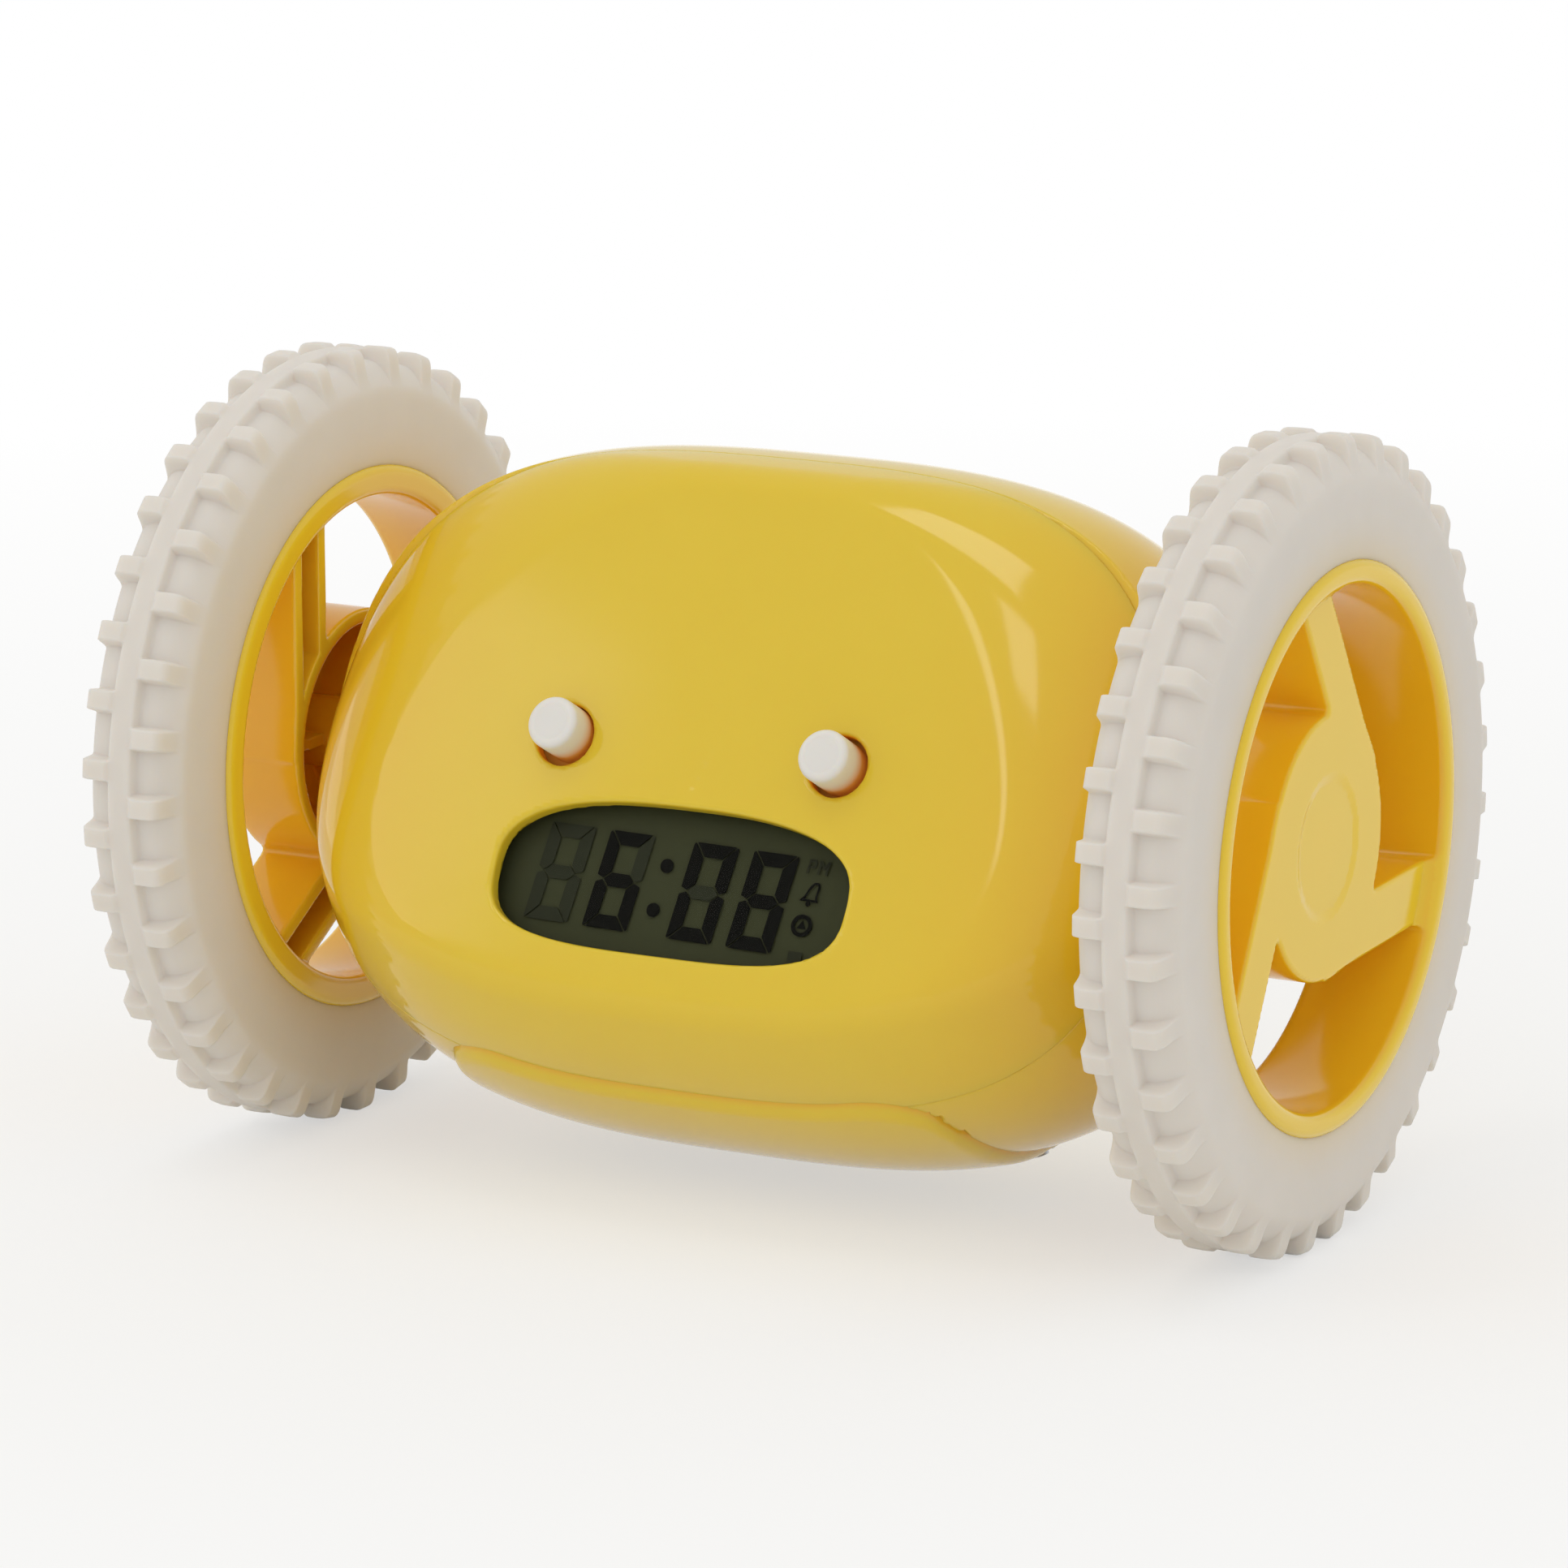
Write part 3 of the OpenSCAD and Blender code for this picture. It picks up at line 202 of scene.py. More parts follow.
def level_surface(field, xs, ys, zs):
    """The surface where field is zero, sampled on a grid whose lines may be unevenly spaced. Each
    grid cell that the surface crosses gets one point, the mean of the crossings on its edges,
    which then slides down the slope of the field onto the surface. Each crossed grid line gives
    one four-sided face. The normals are the slope. Blends and fillets of this shell have no exact
    profile or grid of their own, which is why it is drawn this way."""
    value = field(xs[:, None, None], ys[None, :, None], zs[None, None, :])
    value = np.broadcast_to(value, (len(xs), len(ys), len(zs)))
    inside = value < 0
    grid = (xs, ys, zs)
    count = np.array([len(g) for g in grid])
    stride = np.array([count[1] * count[2], count[2], 1])
    cells, crossings, faces = [], [], []
    for axis in range(3):
        low = [slice(None)] * 3
        high = [slice(None)] * 3
        low[axis], high[axis] = slice(None, -1), slice(1, None)
        low, high = tuple(low), tuple(high)
        at = np.argwhere(inside[low] != inside[high])
        index = at @ stride
        a, b = value[low][tuple(at.T)], value[high][tuple(at.T)]
        share = a / (a - b)
        point = np.stack([grid[k][at[:, k]] for k in range(3)], 1)
        line = grid[axis]
        point[:, axis] = line[at[:, axis]] * (1 - share) + line[at[:, axis] + 1] * share
        second, third = (axis + 1) % 3, (axis + 2) % 3
        around = np.stack([index - stride[second] - stride[third], index - stride[third],
                           index, index - stride[second]], 1)
        cells.append(around.ravel())
        crossings.append(np.repeat(point, 4, axis=0))
        outward = a < 0
        faces.append(np.where(outward[:, None], around, around[:, ::-1]))
    cells, crossings, faces = np.concatenate(cells), np.concatenate(crossings), np.concatenate(faces)
    used, place = np.unique(cells, return_inverse=True)
    place = place.ravel()
    number = np.bincount(place)
    points = np.stack([np.bincount(place, crossings[:, k]) / number for k in range(3)], 1)
    faces = np.searchsorted(used, faces)
    step = 1e-3

    def slope(p):
        return np.stack([(field(*(p + d).T) - field(*(p - d).T)) / (2 * step)
                         for d in np.eye(3) * step], 1)

    for _ in range(4):
        direction = slope(points)
        move = field(*points.T)[:, None] * direction / np.maximum((direction ** 2).sum(1), 0.2)[:, None]
        length = np.sqrt((move ** 2).sum(1))[:, None]
        points = points - move * np.minimum(1, 0.25 / np.maximum(length, 1e-9))
    normals = slope(points)
    return points, faces, normals / np.maximum(np.sqrt((normals ** 2).sum(1)), 1e-9)[:, None]


def lines(*stops):
    """Grid lines from one stop to the next: position, spacing, position, spacing, ... position."""
    out = [np.array([stops[0]])]
    for start, spacing, end in zip(stops[:-2:2], stops[1::2], stops[2::2]):
        out.append(np.linspace(start, end, int(round((end - start) / spacing)) + 1)[1:])
    return np.concatenate(out)


def add_piece(name, points, faces, material, normals=None, smooth=True, above=AXLE_Z):
    """A mesh object from points in millimetres. Its own place stays at the origin."""
    mesh = bpy.data.meshes.new(name)
    points = np.asarray(points, float).copy()
    points[:, 2] += above
    mesh.from_pydata((points * MM).tolist(), [], faces.tolist() if hasattr(faces, "tolist") else faces)
    mesh.polygons.foreach_set("use_smooth", np.full(len(mesh.polygons), smooth))
    if normals is not None:
        mesh.normals_split_custom_set_from_vertices(normals.tolist())
    mesh.materials.append(material)
    mesh.update()
    made = bpy.data.objects.new(name, mesh)
    bpy.context.scene.collection.objects.link(made)
    return made


def give(piece, attribute, values):
    """Stores a number for each point of a piece, for its material to read."""
    piece.data.attributes.new(attribute, "FLOAT", "POINT").data.foreach_set("value", values)


def colour(code):
    """Linear colour of an sRGB hex code."""
    parts = [int(code[i:i + 2], 16) / 255 for i in (1, 3, 5)]
    return [p / 12.92 if p <= 0.04045 else ((p + 0.055) / 1.055) ** 2.4 for p in parts] + [1.0]


def new_material(name):
    """A material, its node tree and the object coordinates that its patterns follow."""
    made = bpy.data.materials.new(name)
    made.use_nodes = True
    tree = made.node_tree
    tree.nodes.clear()
    return made, tree, add(tree, "ShaderNodeTexCoord").outputs["Object"]


def add(tree, kind, inputs=None, **settings):
    """Adds a shader node. Its inputs are constants, or output sockets that are linked."""
    made = tree.nodes.new(kind)
    for key, value in settings.items():
        setattr(made, key, value)
    for key, value in (inputs or {}).items():
        if isinstance(value, bpy.types.NodeSocket):
            tree.links.new(value, made.inputs[key])
        else:
            made.inputs[key].default_value = value
    return made


def paint(material, *nodes):
    """Gives CAD nodes a material."""
    for name in nodes:
        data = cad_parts[name].data
        data.materials.clear()
        data.materials.append(material)


def abs_with_painted_shade(name, patches, ripples, light, dark, painted_shade_colour, gloss_low, gloss_high, scatter, radius):
    """Yellow ABS, IOR 1.53: patches of tone, a ripple in gloss and relief, and light scattered
    inside. Where the painted-shade attribute is 1, the colour is the painted orange shade colour,
    which stands for shade and for light that comes through the walls."""
    made, tree, place = new_material(name)
    tone = add(tree, "ShaderNodeTexNoise", {"Vector": place, "Scale": patches, "Detail": 2.0})
    ripple = add(tree, "ShaderNodeTexNoise", {"Vector": place, "Scale": ripples, "Detail": 3.0})
    pigment = add(tree, "ShaderNodeMixRGB", {"Fac": tone.outputs["Fac"], "Color1": colour(light),
                                             "Color2": colour(dark)})
    inner = add(tree, "ShaderNodeAttribute", attribute_name="painted_shade_glow")
    with_painted_light = add(tree, "ShaderNodeMixRGB", {
        "Fac": inner.outputs["Fac"], "Color1": pigment.outputs["Color"], "Color2": colour(painted_shade_colour)})
    gloss = add(tree, "ShaderNodeMapRange", {"Value": ripple.outputs["Fac"], "To Min": gloss_low,
                                             "To Max": gloss_high})
    bump = add(tree, "ShaderNodeBump", {"Height": ripple.outputs["Fac"], "Strength": 0.05,
                                        "Distance": 0.02 * MM})
    skin = add(tree, "ShaderNodeBsdfPrincipled", {
        "Base Color": with_painted_light.outputs["Color"], "Roughness": gloss.outputs["Result"], "IOR": 1.53,
        "Normal": bump.outputs["Normal"], "Subsurface Weight": 0.3, "Subsurface Scale": scatter,
        "Subsurface Radius": radius})
    add(tree, "ShaderNodeOutputMaterial", {"Surface": skin.outputs["BSDF"]})
    return made


# The shells' ABS has the faint unevenness of a polished mould: patches of 8 mm in tone and a ripple
# of 3 mm in the gloss, drawn coarser than the real 0.5 mm. Orange shade is painted into its colour by
# an attribute, for light that goes into the plastic and comes out orange where it is shaded: 1 in the
# eye holes, up to 0.45 at the foot of the door's edge and up to 0.22 at the sides, which the wheels shade.
shell_abs = abs_with_painted_shade("abs_gloss_yellow", 125.0, 330.0, "#e5c42c", "#e7c730", "#ffa61c",
                        0.06, 0.1, 0.003, (1.0, 0.7, 0.2))

FRONT_CELL = 0.47
xs = lines(-53.6, FRONT_CELL, 53.6)
ss = lines(-15.8, FRONT_CELL, -0.9, 0.2, -0.5, 0.1, 0.3)
ts = lines(-42.0, FRONT_CELL, 39.0)
points, faces, normals = level_surface(front_field, xs, ss, ts)


def out_of_seam(p):
    """Points or directions from the seam's frame to the row frame; from_seam without the shift
    turns directions."""
    y, z = from_seam(p[:, 1], p[:, 2])
    return np.stack([p[:, 0], y, z], 1)


origin = out_of_seam(np.zeros((1, 3)))
front_shell = add_piece("front_shell_moulding", out_of_seam(points), faces, shell_abs,
                        out_of_seam(normals) - origin)


def shaded_side(x):
    """Painted orange shade at the shell's sides, which the wheels shade: up to 0.22 at the ends."""
    return 0.22 * np.clip((np.abs(x) - 22) / 26, 0, 1) ** 1.5


hole_depth, hole_up = to_face(*from_seam(points[:, 1], points[:, 2]))
from_eye = np.sqrt((np.abs(points[:, 0]) - EYE_X) ** 2 + (hole_up - EYE_Z) ** 2)
# Painted orange shade inside the eye holes and at the sides that the wheels shade.
hole_painted_shade = np.clip((hole_depth - 0.15) / 0.3, 0, 1) * (from_eye < 4.6)
painted_shade_glow = np.maximum(hole_painted_shade, shaded_side(points[:, 0]))
give(front_shell, "painted_shade_glow", painted_shade_glow)
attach(front_shell, "chassis")
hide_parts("front_shell")


# ---------------------------------------------------------------- rear shell
# The back half of the barrel, of the same ABS. It has the battery tray with the door's seat, the
# flat panel with the key holes and the slider's slot, the slots of the loudspeaker, the side
# collars of the axle bushes and the posts of the gear boxes.

REAR_TURN, REAR_D = np.radians(28), 37.3
SPEAKER_TURN = np.radians(66)
TRAY_HALF_W, TRAY_HALF_D = 26.05, 22.2
EAR_POSTS = ((33.4, -17.8, 1.0), (33.4, 24.2, 12.0))  # X, height, start along Y
EAR_POST_R = 2.8
KEY_X, KEY_HOLE_R, KEY_POST_X, KEY_BOARD_DEPTH = 13.0, 3.3, 20.3, 8
SLIDER_SLOT_HALF_W, SLIDER_SLOT_HALF_H = 4.5, 2.0
SPEAKER_SEAT_R, SPEAKER_RING_R, SPEAKER_RING_H = 12.15, 13.3, 8.7
SCREW_HOLE_R, SCREW_RECESS_R, SCREW_SEAT = 1.4, 2.6, 6  # the head sits 6 mm behind the seam
RECESS_WALL_R = 4.0
AXLE_COLLAR_R, COLLAR_START, COLLAR_END = 4.4, 49, 54.4
AXLE_BORE_R, AXLE_BORE_START = 3.0, 48
TRAY_WALL, LIP_W, LIP_DEPTH, SEAT_DEPTH = 1.2, 1.2, 2.3, 1.1
DOOR_POST_X, DOOR_POST_Y, DOOR_POST_R, DOOR_POST_TOP = 29.0, 0.5, 2.5, -31.0
OPENING_DEPTH, SOUND_SLOT_DEPTH, SOUND_SLOT_PITCH, SOUND_SLOT_HALF_H = 3, 6, 2.6, 0.6


def to_back(y, z, turn, distance):
    """Height above a tangent plane of the barrel, and the length along that plane."""
    dy, dz = y - BARREL_Y, z - BARREL_Z
    return dy * np.cos(turn) + dz * np.sin(turn) - distance, -dy * np.sin(turn) + dz * np.cos(turn)


def rear_field(x, s, t):
    """Signed distance from the rear shell, in the seam's frame."""
    y, z = from_seam(s, t)
    side = np.abs(x)
    skin_d = barrel(x, y, z)
    inner = skin_d + WALL_MID
    door = door_outline(x, y) + DOOR_LAP
    lip = meet(door - LIP_W, z - TRAY_TOP, -(skin_d + LIP_DEPTH))
    hollow = np.maximum(skin_d + WALL, -lip)
    solid = smax(skin_d, -hollow, 0.3)
    seat = meet(door, z - TRAY_TOP, -(skin_d + SEAT_DEPTH))
    solid = smax(smax(solid, -seat, 0.4), 0.02 - s, 0.15)

    # The panel with the posts of the key board.
    above_panel, along_panel = to_back(y, z, REAR_TURN, REAR_D)
    solid = smin(solid, meet(-WALL - above_panel, inner), 0.4)
    away = np.sqrt((side - KEY_POST_X) ** 2 + along_panel ** 2)
    post = meet(away - BOARD_POST_R, BOARD_PILOT_R - away, -KEY_BOARD_DEPTH - above_panel, inner)
    solid = smin(solid, post, 0.4)

    # The ring that holds the loudspeaker.
    above_cone, along_cone = to_back(y, z, SPEAKER_TURN, BARREL_R)
    from_cone = np.sqrt(x ** 2 + along_cone ** 2)
    ring = meet(from_cone - SPEAKER_RING_R, SPEAKER_SEAT_R - from_cone, -SPEAKER_RING_H - above_cone, inner)
    solid = smin(solid, ring, 0.4)

    # The screws from behind, the posts of the gear boxes, and the battery tray.
    for post_x, post_t in SHELL_POSTS:
        away = np.sqrt((side - post_x) ** 2 + (t - post_t) ** 2)
        solid = smin(solid, meet(away - RECESS_WALL_R, inner, 0.05 - s), 0.4)
        solid = np.maximum(solid, SCREW_HOLE_R - away)
        solid = smax(solid, -meet(away - SCREW_RECESS_R, SCREW_SEAT - s), 0.3)
    for post_x, post_z, start in EAR_POSTS:
        away = np.sqrt((side - post_x) ** 2 + (z - post_z) ** 2)
        solid = smin(solid, meet(away - EAR_POST_R, start - y, inner), 0.4)
    away = np.sqrt((x - DOOR_POST_X) ** 2 + (y - DOOR_POST_Y) ** 2)
    screw_post = meet(away - DOOR_POST_R, z - DOOR_POST_TOP, skin_d + 1.3)
    tray = meet(side - TRAY_HALF_W - TRAY_WALL, np.abs(y) - TRAY_HALF_D - TRAY_WALL, z - TRAY_TOP - TRAY_WALL)
    solid = np.minimum(solid, meet(np.minimum(tray, screw_post), skin_d + WALL))
    cells = meet(side - TRAY_HALF_W, np.abs(y) - TRAY_HALF_D, z - TRAY_TOP)
    solid = smax(solid, -cells, 0.3)

    # The collars of the axle bushes.
    from_axle = np.sqrt(y ** 2 + z ** 2)
    solid = smin(solid, meet(from_axle - AXLE_COLLAR_R, COLLAR_START - side, side - COLLAR_END), 1.0)
    solid = smax(solid, -meet(from_axle - AXLE_BORE_R, AXLE_BORE_START - side), 0.3)

    # The openings for the keys, the slider and the sound.
    solid = smax(solid, above_panel, 0.9)
    from_key = np.sqrt((side - KEY_X) ** 2 + along_panel ** 2)
    solid = smax(solid, -meet(from_key - KEY_HOLE_R, -OPENING_DEPTH - above_panel), 0.5)
    slot = smax(side - SLIDER_SLOT_HALF_W, np.abs(along_panel) - SLIDER_SLOT_HALF_H, 0.6)
    solid = smax(solid, -meet(slot, -OPENING_DEPTH - above_panel), 0.4)
    for row in range(-2, 3):
        half = 9.0 - abs(row) * 1.3
        off = np.abs(along_cone - row * SOUND_SLOT_PITCH)
        slot = smax(side - half, off - SOUND_SLOT_HALF_H, 0.7)
        solid = smax(solid, -meet(slot, -SOUND_SLOT_DEPTH - above_cone), 0.35)
    return solid


REAR_CELL = 0.74
xs = lines(-54.9, REAR_CELL, -44.0, 1.1, -24.0, REAR_CELL, 24.0, 1.1, 44.0, REAR_CELL, 54.9)
ss = lines(-0.3, 0.1, 0.5, 0.2, 0.9, 1.0, 22.0, REAR_CELL, 55.0)
ts = lines(-42.0, 1.0, -16.0, REAR_CELL, 39.0)
points, faces, normals = level_surface(rear_field, xs, ss, ts)
rear_shell = add_piece("rear_shell_moulding", out_of_seam(points), faces, shell_abs,
                       out_of_seam(normals) - origin)
# The same painted orange side shade on the rear shell.
give(rear_shell, "painted_shade_glow", shaded_side(points[:, 0]))
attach(rear_shell, "chassis")
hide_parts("rear_shell")


# ---------------------------------------------------------------- battery door
# A lid of the same ABS that follows the barrel and stands 1 mm proud of it, held by one screw. Its
# edge laps over the edge of the opening and hides the joint. It is rounded more along the sides
# than in front.

DOOR_PROUD, DOOR_BACK = 1.0, 0.95
DOOR_SCREW = (29.9, 0.5, -38.45)
DOOR_SCREW_AXIS = (-0.2605, 0.9655)  # X and Z, into the body
DOOR_RECESS_R, DOOR_HOLE_R = 2.2, 1.1


def door_field(x, y, z):
    """Signed distance from the battery door, a curved plate with a rounded outer edge."""
    skin_d = body(x, y, z)
    rounding = np.interp(y, [-21.0, -14.0], [0.9, 2.4])
    solid = smax(skin_d - DOOR_PROUD, door_outline(x, y) - 0.25, rounding)
    solid = meet(solid, -(skin_d + DOOR_BACK))
    dx, dy, dz = x - DOOR_SCREW[0], y - DOOR_SCREW[1], z - DOOR_SCREW[2]
    along = dx * DOOR_SCREW_AXIS[0] + dz * DOOR_SCREW_AXIS[1]
    away = np.sqrt((dx * DOOR_SCREW_AXIS[1] - dz * DOOR_SCREW_AXIS[0]) ** 2 + dy ** 2)
    solid = smax(solid, -meet(away - DOOR_RECESS_R, along), 0.35)
    return meet(solid, DOOR_HOLE_R - away)


DOOR_CELL = 0.45
points, faces, normals = level_surface(door_field, lines(-34.2, DOOR_CELL, 34.2),
                                       lines(-28.8, DOOR_CELL, 28.8), lines(-43.0, DOOR_CELL, -20.0))
door = add_piece("battery_door_moulding", points, faces, shell_abs, normals)
# Painted orange shade at the foot of the door's edge, up to 0.45 where it meets the shell.
give(door, "painted_shade_glow", 0.45 * np.clip((0.5 - body(*points.T)) / 0.5, 0, 1))
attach(door, "chassis")
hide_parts("battery_door")


# ---------------------------------------------------------------- wheel rims
# One moulding of the same yellow ABS for each wheel: a ring with a rounded bead on either side of
# the tyre, three hollow spokes that leave the hub at a tangent, and a hub cup open to the inside.
# The left wheel is the right one turned round.

RIM_MID, RIM_HALF_W = 61.0, 6.5
RIM_FACE, RIM_R = 67.5, 31.6
HUB_FACE, HUB_BACK, HUB_R = 65.65, 56.0, 14.8
RING_HOLE_R, RING_DRAFT, RING_ROUNDING = 28.9, 0.9 / 13.0, 1.2  # the hole narrows inwards
CHANNEL_R, CHANNEL_HALF_W = 30.6, 5.2
SPOKE_MID, SPOKE_HALF_W, SPOKE_GROOVE_HALF_W = -11.25, 3.45, 1.75
INSIDE_FACE = 64.3  # the cup and the spokes' grooves leave a wall of 1.35 mm in front
CUP_R, DISH_R, DISH_DEPTH = 13.1, 8.2, 0.22
CORE_R, CORE_RIB_HALF_W, CORE_RIB_BACK = 4.2, 0.7, 59.0  # the core holds the axle, on three ribs
AXLE_R, AXLE_END = 1.5, 63.8
RIGHT_SPOKE_TURN, LEFT_SPOKE_TURN = 1.5, 90.0


def rim_field(x, y, z):
    """Signed distance from the right wheel's rim."""
    r = np.sqrt(y ** 2 + z ** 2)
    off = np.abs(x - RIM_MID)
    hole = RING_HOLE_R - RING_DRAFT * (RIM_FACE - x)
    ring = smax(r - RIM_R, off - RIM_HALF_W, RING_ROUNDING)
    ring = smax(ring, hole - r, RING_ROUNDING)
    ring = smax(ring, -meet(CHANNEL_R - r, off - CHANNEL_HALF_W), 0.15)
    arms, grooves = np.inf, np.inf
    for i in range(3):
        turn = np.radians(RIGHT_SPOKE_TURN + 120 * i)
        out = y * np.cos(turn) + z * np.sin(turn)
        over = np.abs(-y * np.sin(turn) + z * np.cos(turn) - SPOKE_MID)
        arms = np.minimum(arms, meet(over - SPOKE_HALF_W, -out, r - hole - 0.8))
        grooves = np.minimum(grooves, meet(over - SPOKE_GROOVE_HALF_W, -out, HUB_R - r))
    # The front face rises by 0.8 mm where a spoke meets the ring, and dips in the hub's middle.
    front = HUB_FACE + np.clip(r - hole + 1.0, 0, 0.8) - DISH_DEPTH * np.clip(DISH_R - r, 0, 1)
    spider = smax(smin(arms, r - HUB_R, 1.2), meet(x - front, HUB_BACK - x), 0.5)
    wheel = smin(ring, spider, 0.9)
    wheel = smax(wheel, -meet(grooves, r - hole + 0.3, x - INSIDE_FACE), 0.3)
    core = CORE_R - r
    for i in range(3):
        turn = np.radians(RIGHT_SPOKE_TURN + 120 * i + 30)
        out = y * np.cos(turn) + z * np.sin(turn)
        over = np.abs(-y * np.sin(turn) + z * np.cos(turn))
        core = meet(core, -meet(over - CORE_RIB_HALF_W, -out, CORE_RIB_BACK - x))
    cup = smax(meet(x - INSIDE_FACE, r - CUP_R), core, 0.3)
    wheel = smax(wheel, -cup, 0.4)
    return smax(wheel, -meet(r - AXLE_R, x - AXLE_END), 0.1)


# The wheels are moulded in a slightly warmer batch of the yellow. The walls let light through; that
# light and the shade inside the hub cup and on the walls between the spokes are painted orange by an
# attribute: 1 in the cup, up to 0.42 on those walls and 0 on the faces.
rim_abs = abs_with_painted_shade("abs_polished_warm_yellow", 160.0, 400.0, "#efca2a", "#f1cc2e", "#ffb414",
                      0.1, 0.16, 0.002, (1.0, 0.85, 0.3))

RIM_CELL = 0.39
points, faces, normals = level_surface(rim_field, lines(54.1, RIM_CELL, 68.0),
                                       lines(-32.8, RIM_CELL, 32.8), lines(-32.8, RIM_CELL, 32.8))
from_axle = np.sqrt(points[:, 1] ** 2 + points[:, 2] ** 2)
# Painted orange light and shade: full in the hub cup, up to 0.42 on the walls between the spokes.
cup_painted_light = np.clip((64.6 - points[:, 0]) / 2.0, 0, 1) * np.clip((14.0 - from_axle) / 0.8, 0, 1)
walls_painted_light = 0.42 * np.clip(1.2 - 1.6 * np.abs(normals[:, 0]), 0, 1) * (from_axle < 30.2)
painted_shade_glow = np.maximum(cup_painted_light, walls_painted_light)


def turn_x(p, degrees):
    """Points or directions turned about the axle, from +Y towards +Z."""
    c, s = np.cos(np.radians(degrees)), np.sin(np.radians(degrees))
    return np.stack([p[:, 0], p[:, 1] * c - p[:, 2] * s, p[:, 1] * s + p[:, 2] * c], 1)


for side, turn, flip in (("right", 0.0, 1.0), ("left", LEFT_SPOKE_TURN - RIGHT_SPOKE_TURN, -1.0)):
    half_turn = np.array([flip, flip, 1.0])
    rim = add_piece(side + "_rim_moulding", turn_x(points, turn) * half_turn, faces, rim_abs,
                    turn_x(normals, turn) * half_turn)
    give(rim, "painted_shade_glow", painted_shade_glow)
    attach(rim, side + "_wheel")
    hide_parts(side + "_rim")


# ---------------------------------------------------------------- tyres
# Soft milky white rubber, moulded in one piece: a tread with a low middle band and two staggered
# rows of bar lugs that wrap over the rounded shoulders, and smooth side walls that end in the rim.
# A grid of profile points by turns: each profile point moves from its place in the groove to its
# place on a lug as the tyre turns past the lug's flank.

TYRE_R, LUG_COUNT, LUG_HALF_W = 45.0, 36, 1.3
LUG_FOOT, LUG_FLANK = 0.2, 0.45  # the flank starts 0.2 mm outside the lug and is 0.45 mm wide
# Distance from the tyre's middle and radius, from the seat to the shoulder's crease, and from there
# on in the groove and on a lug.
TYRE_WALL = [(5.17, 30.62), (5.17, 30.85), (5.22, 31.1), (5.6, 31.25), (5.85, 31.4), (5.97, 31.8),
             (6.0, 32.5), (6.0, 34.5), (6.0, 36.5), (6.0, 38.2), (5.99, 39.2), (5.96, 39.8),
             (5.89, 40.3), (5.77, 40.7)]
TYRE_TREAD = [
    (5.55, 41.1, 5.6, 41.15), (5.3, 41.5, 5.42, 41.75), (5.02, 41.88, 5.28, 42.4),
    (4.7, 42.25, 5.17, 43.05), (4.35, 42.58, 5.05, 43.65), (3.95, 42.88, 4.9, 44.15),
    (3.5, 43.12, 4.68, 44.55), (3.0, 43.28, 4.38, 44.82), (2.5, 43.37, 3.95, 44.96),
    (2.1, 43.4, 3.0, 45.0), (1.95, 43.42, 1.95, 44.98), (1.75, 43.5, 1.75, 44.93),
    (1.62, 43.75, 1.6, 44.84), (1.52, 44.1, 1.5, 44.75), (1.42, 44.4, 1.35, 44.66),
    (1.28, 44.55, 1.2, 44.62), (1.0, 44.6, 1.0, 44.6), (0.5, 44.6, 0.5, 44.6), (0.0, 44.6, 0.0, 44.6)]
one_side = np.array([wall * 2 for wall in TYRE_WALL] + TYRE_TREAD)
profile = np.concatenate([one_side, one_side[-2::-1] * [-1, 1, -1, 1]])
# Turns, as lengths along the tread from a lug's middle to half way to the next row's lug.
half_pitch = np.pi * TYRE_R / LUG_COUNT
along_tread = np.array([0.0, 0.45, 0.85, 1.05, 1.15, 1.25, 1.35, 1.47, 1.65])
along_tread = np.concatenate([along_tread, half_pitch - along_tread[:0:-1]])
turns = (np.arange(2 * LUG_COUNT)[:, None] * half_pitch + along_tread[None, :]).ravel() / TYRE_R
turns = turns[:, None] - np.pi / 2
outer_row = (profile[:, 0] > 0)[None, :]
pitch = 2 * np.pi / LUG_COUNT
phase = (turns + np.pi / 2 + np.where(outer_row, pitch / 2, 0.0)) / pitch
from_lug = np.abs(phase - np.round(phase)) * pitch * TYRE_R
share = np.clip((LUG_HALF_W + LUG_FOOT - from_lug) / LUG_FLANK, 0, 1)
share = share * share * (3 - 2 * share)
off = profile[None, :, 0] * (1 - share) + profile[None, :, 2] * share
radius = profile[None, :, 1] * (1 - share) + profile[None, :, 3] * share
tyre_points = np.stack([RIM_MID + off, radius * np.cos(turns), radius * np.sin(turns)], -1)
rounds, across = radius.shape
i, j = np.meshgrid(np.arange(rounds), np.arange(across), indexing="ij")
corner = [((i + a) % rounds) * across + (j + b) % across for a, b in ((0, 0), (0, 1), (1, 1), (1, 0))]
tyre_faces = np.stack(corner, -1).reshape(-1, 4)
tyre_points = tyre_points.reshape(-1, 3)
# Painted warm light from the rim: up to 0.4 near the rim, none above 38 mm.
rim_light_painted = 0.4 * np.clip((38.0 - radius.ravel()) / 6.5, 0, 1) ** 2

# Translucent white elastomer, IOR 1.41, matt: a soft mottle of 6 mm and a grain of 0.4 mm, drawn
# coarser than the real 0.1 mm. Light scatters about 3 mm into it. Beside the yellow rim a warm tint
# is painted on, rising to 0.4, for the yellow light that the rim throws on the rubber.
tyre_rubber, tree, place = new_material("silicone_rubber_milky_white")
mottle = add(tree, "ShaderNodeTexNoise", {"Vector": place, "Scale": 170.0, "Detail": 4.0})
grain = add(tree, "ShaderNodeTexNoise", {"Vector": place, "Scale": 2500.0, "Detail": 2.0})
milk = add(tree, "ShaderNodeMixRGB", {"Fac": mottle.outputs["Fac"], "Color1": colour("#dfd9d1"),
                                      "Color2": colour("#e5dfd8")})
painted_rim_light = add(tree, "ShaderNodeAttribute", attribute_name="painted_rim_light")
